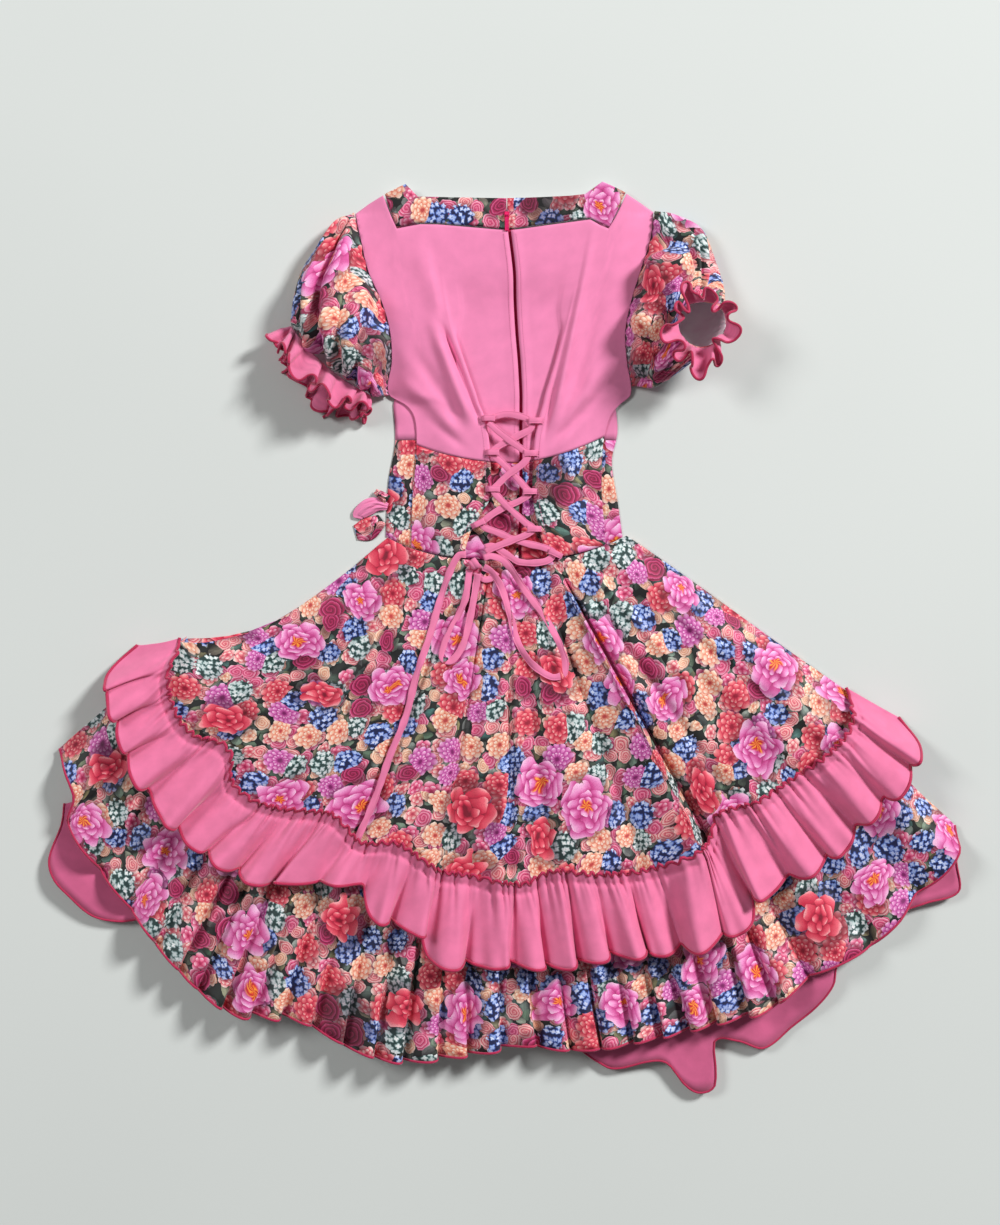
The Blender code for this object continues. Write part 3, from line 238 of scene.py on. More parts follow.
Ring = namedtuple("Ring", "centre along up bulge")
SLEEVE_LEFT = [
    Ring((-160.5, 401.5, 5.5), (-20, 110, 0), (0, 0, 9), (20, -10, 0)),
    Ring((-175.5, 390.5, 12), (-30.5, 99.5, 2), (0, 0, 23), (14, -8, 10)),
    Ring((-194, 369, 15), (-44, 79, 2), (0, 2, 30), (8, -8, 14)),
    Ring((-202.5, 351, 13), (-48.5, 61, 2), (0, 2, 26), (2, -10, 12)),
    Ring((-207.5, 333.5, 10), (-47.5, 41.5, 2), (0, 4, 13), (-4, -12, 3)),
]
SLEEVE_RIGHT = [
    Ring((174.5, 408, 5.5), (9, 105, 0), (0, 0, 9), (-26, -10, 0)),
    Ring((189, 405, 10), (19, 103, 2), (-7.5, -2.5, 22), (-16.5, -7.5, 12)),
    Ring((210, 394, 14), (30, 94, 2), (-12.5, -1.5, 24), (-7.5, 0, 10)),
    Ring((218.5, 373, 25), (28.5, 67, 2), (-27.5, -3.5, 18), (9, 8.5, 0)),
    Ring((236, 371.5, 44), (0, 26.5, 1), (-28.5, -1, 3), (0, 3, -1)),
]
# Creases of the sleeves: place round the sleeve and along it, from one to the other, width and height
SleeveCrease = namedtuple("SleeveCrease", "turn0 share0 turn1 share1 width height")
SLEEVE_CREASES_LEFT = [SleeveCrease(*row) for row in (
    (14, 0.06, 80, 1.0, 0.12, -17), (2, 0.06, 66, 1.0, 0.16, 8), (34, 0.1, 96, 0.95, 0.14, 5),
    (58, 0.12, 104, 0.95, 0.12, -9), (74, 0.1, 116, 0.9, 0.13, 6), (96, 0.1, 126, 0.98, 0.11, -9),
    (114, 0.15, 138, 0.9, 0.12, 5), (134, 0.1, 156, 0.9, 0.1, -7), (24, 0.35, 34, 0.98, 0.1, -6),
    (74, 0.55, 62, 1.0, 0.09, 5),
)]
SLEEVE_CREASES_RIGHT = [SleeveCrease(*row) for row in (
    (50, 0.05, 32, 0.66, 0.11, -13), (64, 0.04, 54, 0.7, 0.13, 7), (80, 0.05, 90, 0.85, 0.11, -9),
    (98, 0.08, 110, 0.85, 0.12, 6), (114, 0.1, 128, 0.8, 0.1, -10), (134, 0.1, 146, 0.8, 0.11, 5),
    (20, 0.2, 12, 0.9, 0.11, -7), (156, 0.2, 165, 0.7, 0.1, -6),
)]
SLEEVE_SIDES = 216
SLEEVE_ROWS = 52
ARMHOLE_GAP = 1.05
SLEEVE_GATHERS = 38        # puckers round the armhole's cap and the cuff

CuffRow = namedtuple("CuffRow", "turn dx dy dz")
CUFF_LEFT = [CuffRow(0, -16, -22, 10), CuffRow(90, -12, -28, 26), CuffRow(180, -4, -20, 12),
             CuffRow(270, -14, -36, 4)]
CUFF_RIGHT = [CuffRow(0, -6, 9, 23), CuffRow(90, -8, -6, 25), CuffRow(180, -8, -28, 22),
              CuffRow(270, 4, -8, 23)]
CUFF_GAP = 2.0
CUFF_STEPS = 34            # columns of each frill
CUFF_WAVE = 19.0           # width of one frill at the cuff's seam
CUFF_NOD = 6.0             # how far every other frill leans in and out
CUFF_SWING = 1.62          # how far the frilled edge swings from its own line, in radians

LACE_WIDTH = 10.0
LACE_WALL = 1.2
LACE_SECTION = [(-0.5, 0.0), (-0.48, 0.45), (-0.41, 0.56), (-0.35, 0.1), (-0.28, 0.5), (0.0, 0.56),
                (0.38, 0.5), (0.48, 0.3), (0.5, 0.0), (0.48, -0.3), (0.38, -0.46), (0.0, -0.5),
                (-0.38, -0.46), (-0.48, -0.3)]
LOOP_LONG = 17.0
LOOP_WIDE = 9.0
LOOP_WALL = 1.0
LOOP_PROFILE = [(-1.25, 14.55), (-1.0, 14.55), (-0.75, 17.9), (0.3, 18.2), (0.8, 17.9)]
LacingLoop = namedtuple("LacingLoop", "name x y turn")
LOOPS = [LacingLoop(*row) for row in (
    ("lacing_loop_left_1", -17, 263, 0), ("lacing_loop_left_2", -12, 222, 0),
    ("lacing_loop_left_3", -11, 178, 0), ("lacing_loop_left_4", -29, 137, 25),
    ("lacing_loop_right_1", 37, 260, 180), ("lacing_loop_right_2", 31, 221, 180),
    ("lacing_loop_right_3", 30, 175, 180), ("lacing_loop_right_4", 35, 130, 180),
    ("lacing_loop_right_5", 61, 101, 155),
)]
# Routes of the lace, the same as its solids': (x, y, z)
LACE_FIRST = [
    (-17, 263, 14.8), (4, 268, 14.8), (29, 262, 14.8), (34, 252, 14.8), (20, 243, 14.8), (-6, 229, 14.8),
    (-14, 221, 14.8), (-4, 212, 14.8), (12, 196, 14.8), (26, 180, 14.8), (31, 173, 14.8), (20, 164, 14.8),
    (-3, 154, 14.8), (-22, 141, 14.8), (-26, 134, 14.8), (-8, 126, 14.8), (22, 114, 14.8),
    (50, 107, 14.8), (61, 101, 15.0), (51, 91, 16.3), (20, 90, 16.2), (4, 99, 15.2), (-13, 109, 14.8),
    (-23, 108, 14.8),
]
LACE_SECOND = [
    (-18, 258, 16.5), (-6, 247, 16.5), (8, 236, 16.5), (22, 226, 16.5), (30, 219, 16.5), (24, 209, 16.5),
    (8, 197, 16.5), (-6, 184, 16.5), (-12, 177, 16.5), (-4, 166, 16.5), (12, 150, 16.5), (28, 136, 16.5),
    (36, 130, 16.5), (30, 124, 16.5), (10, 116, 16.8), (-10, 108, 17.0), (-22, 102, 17.0),
]
BOW_LOOP_RIGHT = [
    (-24, 95, 18.7), (-14, 97, 18.7), (2, 90, 18.4), (28, 53, 15.0), (54, 17, 16.4), (73, -25, 18.4),
    (72, -44, 20.0), (58, -48, 21.2), (34, -32, 19.9), (17, -6, 17.2), (8, 26, 16.0), (-3, 60, 14.9),
    (-14, 78, 15.2), (-24, 84, 16.0),
]
BOW_LOOP_LEFT = [
    (-41, 80, 13.0), (-46, 46, 14.8), (-60, 14, 16.4), (-72, -12, 17.8), (-73, -26, 18.8),
    (-63, -29, 20.4), (-49, -10, 19.6), (-40, 24, 17.0), (-33, 62, 15.6), (-31, 76, 15.2),
]
TAIL_LONG = [
    (-45, 99, 15.2), (-54, 98, 15.0), (-66, 75, 14.0), (-79, 35, 16.6), (-89, 0, 19.2), (-104, -44, 21.4),
    (-117, -95, 22.3), (-136, -142, 22.6), (-153, -191, 22.8), (-172, -235, 23.1), (-178, -247, 23.2),
]
TAIL_SHORT = [(-30, 74, 13.7), (-23, 69, 14.1), (-14, 71, 13.2), (-8, 78, 13.2)]
KNOT_CENTRE = (-34.5, 88, 16.0)
KNOT_HALF_WIDE = 6.3
KNOT_HALF_HIGH = 3.7
KNOT_TURN = 0.5            # radians
KNOT_SECTION = [(-0.5, 0.0), (-0.42, 0.5), (0.0, 0.62), (0.42, 0.5), (0.5, 0.0), (0.42, -0.5),
                (0.0, -0.5), (-0.42, -0.5)]

BOW_ROWS = 24
BowStrip = namedtuple("BowStrip", "node finish height route")      # each place with its half width
BOW_STRIPS = [
    BowStrip("side_bow_top", "printed_cloth", 4.35, [(-140, 165, 6), (-148, 171, 5), (-155, 176, 3)]),
    BowStrip("side_bow_loop", "bodice_crepe", 2.55,
             [(-140, 157, 4), (-152, 160, 8), (-163, 157, 10), (-174, 149, 8), (-176, 143, 5)]),
    BowStrip("side_bow_tail", "printed_cloth", HALF,
             [(-147, 142, 7), (-155, 136, 11), (-165, 130, 14), (-179, 126, 9)]),
]

ZIP_TAPE_WIDE = 12.0
ZIP_TAPE_DROP = 1.7
ZIP_SLIT = 1.9             # half of the slit that shows the tape between the back's halves

# The picture: 1.2 mm for each of its pixels, on the plane where most of the cloth lies
PICTURE_WIDE = 1000
PICTURE_HIGH = 1225
PIXEL = 1.2
TABLE_PIXEL_X = 503.5      # the pixel of the tables' own zero
TABLE_PIXEL_Y = 637.0
CLOTH_PLANE = 0.02         # height in metres at which the picture's scale holds

Lamp = namedtuple("Lamp", "name place size share")
LAMPS = [Lamp("key", (5.2, 4.0, 4.5), 1.7, 1), Lamp("fill", (-4.6, 2.2, 4.3), 2.4, 0.26)]
WORLD_LIGHT = 0.14

# One topstitch: shares of its half length, with the thread's thickness at each
STITCH_RINGS = ((-1.0, 0.35), (-0.6, 1.0), (0.6, 1.0), (1.0, 0.35))
STITCH_HALF = 1.15

# The print. Bends are in millimetres.
RING_SPAN = 0.86           # share of a flower's radius that its rings of petals take up
RAGGED_OUTLINE = 2.6
PEONY_BEND = 24.0
BLOOM_BEND = 8.0


def colour(red, green, blue):
    """A screen colour, 0 to 255, as the linear values that Blender works in."""
    return tuple(((c / 255 + 0.055) / 1.055) ** 2.4 if c > 10 else c / 255 / 12.92
                 for c in (red, green, blue))


def colour_setting(name, value, description):
    return bpy.props.FloatVectorProperty(name=name, description=description, subtype="COLOR", size=3,
                                         default=value, min=0, max=1)


def length_setting(name, value, description):
    return bpy.props.FloatProperty(name=name, description=description, default=value, unit="LENGTH",
                                   subtype="DISTANCE")


class DressLook(bpy.types.PropertyGroup):
    """Sizes and colours of the dress that a user would change."""
    cloth_wall: length_setting("Cloth", 0.0007, "Thickness of the cloth")
    edge_radius: length_setting("Edge stitch", 0.002, "Radius of the overlocked edge of the frills")
    stitch_pitch: length_setting("Stitch", 0.0032, "Distance from one topstitch to the next")
    camera_height: length_setting("Camera height", 2.4, "Height of the camera over the dress")
    bodice_pink: colour_setting("Bodice", colour(243, 138, 184), "Plain crepe of the bodice")
    lace_pink: colour_setting("Lace", colour(240, 128, 172), "Plain crepe of the lace and its loops")
    ruffle_pink: colour_setting("Ruffle", colour(232, 120, 162), "Plain crepe of the frills")
    under_pink: colour_setting("Underskirt", colour(216, 100, 144), "Plain crepe of the underskirt")
    edge_magenta: colour_setting("Edge", colour(194, 18, 80), "Thread of the overlocked edges")
    floor: colour_setting("Floor", colour(214, 218, 215), "Floor that the dress lies on")
    print_scale: bpy.props.FloatProperty(name="Print scale", description="Size of the flowers",
                                         default=1.0, min=0.2, max=5)
    key_light: bpy.props.FloatProperty(name="Key light", description="Power of the large light",
                                       default=700.0, subtype="POWER")


def look():
    return bpy.context.scene.dress_look


def clamp(value, low=0.0, high=1.0):
    return max(low, min(high, value))


def smooth(value):
    value = clamp(value)
    return value * value * (3 - 2 * value)


def lerp(a, b, share):
    return a + (b - a) * share


def hump(off, width):
    """1 in the middle, falling to nothing on both sides within about twice the width."""
    return math.exp(-(off / width) ** 2)


def look_up(table, key, column=1):
    """Read a column of a table at a key between its rows, along a smooth curve."""
    rising = table if table[0][0] < table[-1][0] else table[::-1]
    if key <= rising[0][0]:
        return rising[0][column]
    if key >= rising[-1][0]:
        return rising[-1][column]
    i = 0
    while rising[i + 1][0] < key:
        i += 1
    before = rising[max(i - 1, 0)]
    low, high = rising[i], rising[i + 1]
    after = rising[min(i + 2, len(rising) - 1)]
    span = high[0] - low[0]
    share = (key - low[0]) / span
    slope_low = (high[column] - before[column]) / max(high[0] - before[0], span) * span
    slope_high = (after[column] - low[column]) / max(after[0] - low[0], span) * span
    square, cube = share * share, share ** 3
    return ((2 * cube - 3 * square + 1) * low[column] + (cube - 2 * square + share) * slope_low
            + (3 * square - 2 * cube) * high[column] + (cube - square) * slope_high)


class Socket:
    """A value of a shader, so that a pattern is written as a plain expression."""

    def __init__(self, paint, link):
        self.paint = paint
        self.link = link

    def math(self, operation, *others, limited=False):
        settings = {"operation": operation, "use_clamp": limited}
        made = self.paint.node("ShaderNodeMath", settings, [self, *others])
        return Socket(self.paint, made.outputs[0])

    def __add__(self, other):
        return self.math("ADD", other)

    __radd__ = __add__

    def __mul__(self, other):
        return self.math("MULTIPLY", other)

    __rmul__ = __mul__

    def __sub__(self, other):
        return self.math("SUBTRACT", other)

    def __rsub__(self, other):
        return self.paint.number("SUBTRACT", other, self)

    def __truediv__(self, other):
        return self.math("DIVIDE", other)

    def __pow__(self, other):
        return self.math("POWER", other)

    def __lt__(self, other):
        return self.math("LESS_THAN", other)

    def __abs__(self):
        return self.math("ABSOLUTE")

    def sin(self):
        return self.math("SINE")

    def cos(self):
        return self.math("COSINE")

    def fraction(self):
        return self.math("FRACT")

    def limit(self):
        return self.math("ADD", 0.0, limited=True)

    def band(self, low, high):
        """0 below low, 1 above high and even between them."""
        return self.math("SUBTRACT", low).math("DIVIDE", high - low, limited=True)


class Paint:
    """A material and the one method that adds its nodes."""

    def __init__(self, name, roughness, sheen=0.0, metallic=0.0, specular=0.5):
        self.material = bpy.data.materials.new(name)
        self.material.use_nodes = True
        self.tree = self.material.node_tree
        self.shader = self.tree.nodes["Principled BSDF"]
        self.shader.inputs["Roughness"].default_value = roughness
        self.shader.inputs["Metallic"].default_value = metallic
        self.shader.inputs["Sheen Weight"].default_value = sheen
        self.shader.inputs["Specular IOR Level"].default_value = specular

    def node(self, kind, settings=None, values=()):
        """Add a node: its settings first, then the values or links of its sockets, by place or name."""
        made = self.tree.nodes.new(kind)
        for name, setting in (settings or {}).items():
            setattr(made, name, setting)
        pairs = values.items() if isinstance(values, dict) else enumerate(values)
        for place, value in pairs:
            self.feed(made.inputs[place], value)
        return made

    def feed(self, entry, value):
        if isinstance(value, Socket):
            self.tree.links.new(value.link, entry)
        else:
            entry.default_value = value

    def out(self, made, place=0):
        return Socket(self, made.outputs[place])

    def number(self, operation, *values):
        return self.out(self.node("ShaderNodeMath", {"operation": operation}, values))

    def choose(self, share, a, b):
        """A number that goes from a to b."""
        return self.out(self.node("ShaderNodeMix", {"data_type": "FLOAT"}, {0: share, 2: a, 3: b}))

    def blend(self, share, a, b, kind="MIX"):
        """A colour that goes from a to b."""
        a = a if isinstance(a, Socket) else (*a, 1)
        b = b if isinstance(b, Socket) else (*b, 1)
        settings = {"data_type": "RGBA", "blend_type": kind, "clamp_result": True}
        return self.out(self.node("ShaderNodeMix", settings, {0: share, 6: a, 7: b}), 2)

    def tinted(self, base, share, dark, light):
        """A colour times a factor that goes from dark to light."""
        return self.blend(1.0, base, self.blend(share, dark, light), "MULTIPLY")

    def ramp(self, share, *stops):
        """A colour read from stops, each of them a place and a screen colour."""
        made = self.node("ShaderNodeValToRGB")
        marks = made.color_ramp.elements
        while len(marks) < len(stops):
            marks.new(0.5)
        for mark, (place, *value) in zip(marks, stops):
            mark.position = place
            mark.color = (*colour(*value), 1)
        self.feed(made.inputs[0], share)
        return self.out(made)

    def vector(self, operation, *values):
        return self.out(self.node("ShaderNodeVectorMath", {"operation": operation}, values))

    def scaled(self, place, factor):
        return self.out(self.node("ShaderNodeVectorMath", {"operation": "SCALE"},
                                  {0: place, "Scale": factor}))

    def parts(self, place):
        made = self.node("ShaderNodeSeparateXYZ", None, [place])
        return self.out(made, 0), self.out(made, 1), self.out(made, 2)

    def noise(self, place, scale, detail=2.0):
        return self.out(self.node("ShaderNodeTexNoise", {"noise_dimensions": "3D"},
                                  {"Vector": place, "Scale": scale, "Detail": detail}))

    def wander(self, place, scale, detail):
        """A shift that changes evenly over the cloth, from -0.5 to 0.5 each way."""
        made = self.node("ShaderNodeTexNoise", {"noise_dimensions": "2D"},
                         {"Vector": place, "Scale": scale, "Detail": detail})
        return self.vector("SUBTRACT", self.out(made, 1), (0.5, 0.5, 0.5))

    def on_cloth(self):
        """Place on the flat cloth, in millimetres, from the piece's own cut."""
        return self.scaled(self.out(self.node("ShaderNodeUVMap", {"uv_map": "Cut"})), 1000.0)

    def on_object(self):
        return self.out(self.node("ShaderNodeTexCoord"), 3)

    def finish(self, base, height=None, depth=0.0002, strength=0.5):
        self.feed(self.shader.inputs["Base Color"], base)
        if height is not None:
            bump = self.node("ShaderNodeBump", None,
                             {"Strength": strength, "Distance": depth, "Height": height})
            self.feed(self.shader.inputs["Normal"], self.out(bump))
        return self.material


class Flowers:
    """One scattering of flowers: each point of the cloth knows its own flower's place, turn and chances."""

    def __init__(self, paint, place, spacing, spread):
        scaled = paint.scaled(place, 1 / spacing)
        cells = paint.node("ShaderNodeTexVoronoi", {"voronoi_dimensions": "2D"},
                           {"Vector": scaled, "Scale": 1.0, "Randomness": spread})
        self.chance, self.tone, spin = paint.parts(paint.out(cells, 1))
        local = paint.vector("SUBTRACT", scaled, paint.out(cells, 2))
        self.paint = paint
        away_x, away_y, _ = paint.parts(local)
        turned = paint.node("ShaderNodeVectorRotate", {"rotation_type": "Z_AXIS"},
                            {"Vector": local, "Angle": spin * math.tau})
        x, y, _ = paint.parts(paint.out(turned))
        y = y * (self.tone * 0.3 + 1.0)
        size = self.tone * 0.22 + 0.9
        self.reach = (x * x + y * y) ** 0.5 * size * spacing
        self.turn = paint.number("ARCTAN2", y, x)
        self.bright = (away_y - away_x) * 0.6 + 0.72      # a little more towards the upper left

    def petal_rings(self, radius, count, rings, spread=0.2):
        """Overlapping rings of petals. The shade runs from 0 in the creases to 1 at the petals' tips."""
        share = self.reach / radius
        shade, outline = None, None
        for k in range(rings):
            edge = 1 - RING_SPAN * k / rings
            inner = 1 - RING_SPAN * (k + 1) / rings
            scallop = abs((self.turn * count * 0.5 + k * 1.35).sin())
            rim = (scallop ** 0.55) * (spread * edge) + (1 - spread) * edge
            inside = share < rim
            ring = share.band(inner * 0.72, edge) * (scallop * 0.62 + 0.38)
            shade = ring if shade is None else self.paint.choose(inside, shade, ring)
            outline = inside if outline is None else outline
        return shade, outline

    def rose(self, radius):
        """A spiral of petals round a dark heart."""
        share = self.reach / radius
        wobble = (self.turn * 2).sin() * 0.12 + (self.turn * 5).sin() * 0.05
        spiral = (share * 3.3 + self.turn * (1 / math.tau) + wobble).fraction()
        outline = share < (abs((self.turn * 2.5).sin()) ** 0.6) * 0.14 + 0.86
        return spiral * (share * 0.55 + 0.45), outline

    def laid_on(self, ground, petals, outline, radius):
        """The flowers over what lies under them, which they darken round their rims."""
        paint = self.paint
        share = (self.reach / radius).band(0.92, 1.24)
        shadow = paint.tinted(ground, share, (0.44, 0.37, 0.42), (1, 1, 1))
        lit = paint.tinted(petals, self.bright.limit(), (0.56, 0.48, 0.53), (1.16, 1.15, 1.15))
        return paint.blend(outline, shadow, lit)


def leaves(paint, place):
    """Leaves in several greens over the dark ground that shows between the flowers."""
    cell = Flowers(paint, place, 14.0, 0.9)
    across = cell.turn.cos() * cell.reach
    along = cell.turn.sin() * cell.reach
    width = 5.4 - along * along * 0.045
    blade = abs(across) < width
    vein = abs(across).band(0.0, 0.9) * 0.35 + 0.65
    side = (across * 0.14 + 0.6).limit()
    green = paint.ramp(cell.chance, (0.0, 74, 102, 82), (0.25, 136, 156, 134), (0.42, 58, 112, 110),
                       (0.6, 144, 138, 96), (0.78, 178, 192, 180), (1.0, 56, 80, 72))
    shaded = paint.tinted(green, side * vein, (0.24, 0.24, 0.25), (1.2, 1.2, 1.2))
    return paint.blend(blade, colour(34, 38, 36), shaded)


def small_flowers(paint, place, ground):
    """Small roses and five-petalled blossoms, pink, salmon and cream."""
    cell = Flowers(paint, place, 17.5, 0.85)
    spiral, rose_edge = cell.rose(10.6)
    petals, blossom_edge = cell.petal_rings(10.8, 5, 2, 0.34)
    is_rose = cell.chance < 0.58
    shade = paint.choose(is_rose, petals, spiral)
    outline = paint.choose(is_rose, blossom_edge, rose_edge) * (cell.chance < 0.94)
    salmon = paint.ramp(shade, (0.0, 196, 66, 88), (0.25, 232, 120, 130), (0.5, 248, 182, 178),
                        (1.0, 255, 238, 230))
    pink = paint.ramp(shade, (0.0, 176, 34, 84), (0.25, 220, 82, 126), (0.6, 245, 148, 178),
                      (1.0, 254, 222, 232))
    cream = paint.ramp(shade, (0.0, 214, 126, 104), (0.3, 243, 188, 156), (0.6, 252, 222, 192),
                       (1.0, 255, 246, 232))
    petal = paint.blend(cell.tone < 0.8, cream, paint.blend(cell.tone < 0.36, salmon, pink))
    return cell.laid_on(ground, petal, outline, 10.6)


def middle_flowers(paint, place, ground):
    """Hydrangeas in blue and grey-green, ragged carnations, dahlias and dark roses."""
    cell = Flowers(paint, place, 35.0, 0.8)
    size = 18.5
    floret = Flowers(paint, place, 6.6, 0.75)
    four = abs((floret.turn * 2).cos()) * 0.34 + 0.66
    petal = (four - floret.reach / 4.3).band(0.0, 0.5) * (floret.tone * 0.45 + 0.6)
    is_cluster = cell.chance < 0.44
    is_blue = cell.chance < 0.27
    is_rose = cell.chance < 0.54
    is_double = cell.chance < 0.9
    count = paint.choose(is_double, 12.0, 9.0)
    ragged, ragged_edge = cell.petal_rings(size, count, 3, 0.24)
    spiral, rose_edge = cell.rose(size * 0.8)
    cluster = (cell.reach / size) < petal * 0.18 + 0.84
    blue = paint.ramp(petal, (0.0, 22, 30, 74), (0.25, 70, 98, 180), (0.55, 136, 166, 228),
                      (1.0, 222, 232, 254))
    grey = paint.ramp(petal, (0.0, 36, 62, 60), (0.25, 116, 148, 146), (0.55, 186, 206, 204),
                      (1.0, 244, 248, 246))
    dark = paint.ramp(spiral, (0.0, 96, 8, 46), (0.4, 168, 28, 82), (0.8, 212, 82, 134),
                      (1.0, 236, 142, 178))
    peach = paint.ramp(ragged, (0.0, 190, 66, 66), (0.28, 238, 146, 120), (0.58, 251, 206, 176),
                       (1.0, 255, 242, 226))
    lilac = paint.ramp(ragged, (0.0, 124, 22, 96), (0.35, 200, 84, 164), (0.72, 236, 154, 208),
                       (1.0, 251, 214, 240))
    coral = paint.ramp(ragged, (0.0, 148, 14, 46), (0.35, 216, 60, 84), (0.7, 242, 128, 134),
                       (1.0, 252, 200, 194))
    petals = paint.blend(is_double, lilac, paint.blend(cell.tone < 0.45, peach, coral))
    petals = paint.blend(is_rose, petals, dark)
    petals = paint.blend(is_cluster, petals, paint.blend(is_blue, grey, blue))
    outline = paint.choose(is_rose, ragged_edge, rose_edge)
    outline = paint.choose(is_cluster, outline, cluster)
    return cell.laid_on(ground, petals, outline, size)


def large_flowers(paint, place, ground):
    """Lilac-pink peonies with orange hearts, and coral-red ones with broad petals."""
    cell = Flowers(paint, place, 104.0, 0.78)
    size = 33.0
    shade, outline = cell.petal_rings(size, 6, 4, 0.3)
    broad, broad_edge = cell.petal_rings(size * 0.84, 5, 3, 0.34)
    lilac = paint.ramp(shade, (0.0, 142, 18, 84), (0.3, 206, 72, 146), (0.62, 238, 142, 200),
                       (1.0, 253, 206, 236))
    heart = ((cell.reach + (cell.turn * 5).sin() * 1.6) / size).band(0.26, 0.16)
    orange = paint.ramp((cell.turn * 8 + cell.reach * 0.7).sin() * 0.5 + 0.5,
                        (0.0, 196, 30, 44), (0.5, 232, 84, 34), (1.0, 252, 168, 60))
    peony = paint.blend(heart, lilac, orange)
    coral = paint.ramp(broad, (0.0, 126, 8, 40), (0.3, 206, 40, 72), (0.7, 240, 98, 116),
                       (1.0, 253, 180, 182))
    is_peony = cell.chance < 0.62
    petals = paint.blend(is_peony, coral, peony)
    outline = paint.choose(is_peony, broad_edge, outline) * (cell.chance < 0.88)
    return cell.laid_on(ground, petals, outline, size)


def weave(paint, place, pitch):
    """Height of a plain weave, for bump."""
    x, y, _ = paint.parts(place)
    return (x * (math.tau / pitch)).sin() * (y * (math.tau / pitch)).sin() * 0.5 + 0.5


def floral_print():
    """The printed cloth: leaves and three sizes of flowers, one over the other, with uneven outlines."""
    paint = Paint("printed_cloth", 0.62, sheen=0.15, specular=0.35)
    place = paint.scaled(paint.on_cloth(), 1 / look().print_scale)
    bend = paint.wander(place, 0.03, 1.0)
    ragged = paint.vector("ADD", place, paint.scaled(paint.wander(place, 0.16, 3.0), RAGGED_OUTLINE))
    bent = paint.vector("ADD", ragged, paint.scaled(bend, PEONY_BEND))
    ragged = paint.vector("ADD", ragged, paint.scaled(bend, BLOOM_BEND))
    ground = leaves(paint, ragged)
    ground = small_flowers(paint, ragged, ground)
    ground = middle_flowers(paint, ragged, ground)
    ground = large_flowers(paint, bent, ground)
    washed = paint.noise(place, 0.7, 3.0).band(0.3, 0.7)
    ground = paint.tinted(ground, washed, (0.78, 0.75, 0.79), (1.18, 1.16, 1.14))
    return paint.finish(ground, weave(paint, paint.on_cloth(), 0.9), 0.00008, 0.4)


def plain_crepe(name, tint, darker=0.86):
    """Crepe with a fine grain, and a little unevenness in its dye."""
    paint = Paint(name, 0.78, sheen=0.25, specular=0.3)
    place = paint.on_cloth()
    mottled = paint.noise(place, 0.05, 4.0)
    grain = paint.noise(place, 1.7, 2.0)
    tone = (mottled * 0.7 + grain * 0.3).band(0.3, 0.7)
    height = weave(paint, place, 0.8) * 0.6 + grain * 0.6
    return paint.finish(paint.blend(tone, times(tint, darker), tuple(tint)), height, 0.00012, 0.45)


def times(tint, factor):
    return tuple(min(c * factor, 1) for c in tint)


def reverse_white():
    """The unprinted side of the floral cloth: white, with the flowers faintly through it."""
    paint = Paint("floral_reverse", 0.8, sheen=0.2, specular=0.3)
    place = paint.on_cloth()
    through = paint.noise(place, 0.045, 3.0).band(0.35, 0.7)
    return paint.finish(paint.blend(through, colour(253, 251, 253), colour(240, 226, 236)),
                        weave(paint, place, 0.9), 0.00008, 0.4)


def edge_thread():
    """Overlock thread wrapped closely round the cloth's edge, with painted shade in the grooves between the
    wraps and a painted highlight on them.
    """
    paint = Paint("edge_thread", 0.6, sheen=0.3, specular=0.4)
    along, around, _ = paint.parts(paint.on_cloth())
    wrap_height_and_shade = (along * 4.6 + around * 0.8).sin() * 0.5 + 0.5
    tint = look().edge_magenta
    # Painted shade and highlight: the colour runs darker in the grooves between the wraps and lighter on
    # them, following the bump's height.
    return paint.finish(paint.blend(wrap_height_and_shade, times(tint, 0.55), times(tint, 1.15)), wrap_height_and_shade, 0.0003, 0.6)


def sewing_thread():
    """Pink thread with its twist in two tones."""
    paint = Paint("sewing_thread", 0.55, sheen=0.3, specular=0.4)
    twist = paint.noise(paint.on_object(), 900.0, 1.0)
    tint = look().bodice_pink
    return paint.finish(paint.blend(twist, times(tint, 0.66), times(tint, 0.9)))


def enamel():
    """Painted metal of the slider, worn a little lighter at random."""
    paint = Paint("enamel", 0.28, metallic=0.1, specular=0.6)
    worn = paint.noise(paint.on_object(), 420.0, 3.0).band(0.45, 0.75)
    return paint.finish(paint.blend(worn, colour(240, 40, 112), colour(212, 18, 88)), worn, 0.00004, 0.3)


Finish = namedtuple("Finish", "slot make")
FINISHES = {
    "printed_cloth": Finish("floral_print", floral_print),
    "floral_reverse": Finish("floral_print", reverse_white),
    "bodice_crepe": Finish("pink_crepe", lambda: plain_crepe("bodice_crepe", look().bodice_pink)),
    "lace_crepe": Finish("pink_crepe", lambda: plain_crepe("lace_crepe", look().lace_pink, 0.82)),
    "tape_crepe": Finish("pink_crepe", lambda: plain_crepe("tape_crepe", look().edge_magenta, 0.7)),
    "ruffle_crepe": Finish("ruffle_pink", lambda: plain_crepe("ruffle_crepe", look().ruffle_pink, 0.8)),
    "under_crepe": Finish("pink_crepe", lambda: plain_crepe("under_crepe", look().under_pink, 0.8)),
    "edge_thread": Finish("ruffle_pink", edge_thread),
    "sewing_thread": Finish("pink_crepe", sewing_thread),
    "enamel": Finish("slider_enamel", enamel),
}


def finish_of(name):
    return bpy.data.materials.get(name) or FINISHES[name].make()


def add_piece(name, mesh, finish):
    mesh.materials.append(finish_of(finish))
    piece = bpy.data.objects.new(name, mesh)
    bpy.context.collection.objects.link(piece)
    return piece


def on_dress(piece, finish, *nodes):
    """Attach a piece to the dress's body, and hide the solids that it stands for."""
    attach(piece, BODY)
    if nodes:
        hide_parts(*nodes)
    return piece


def looped(points, closed):
    return np.concatenate([points, points[:, :1]], axis=1) if closed else points


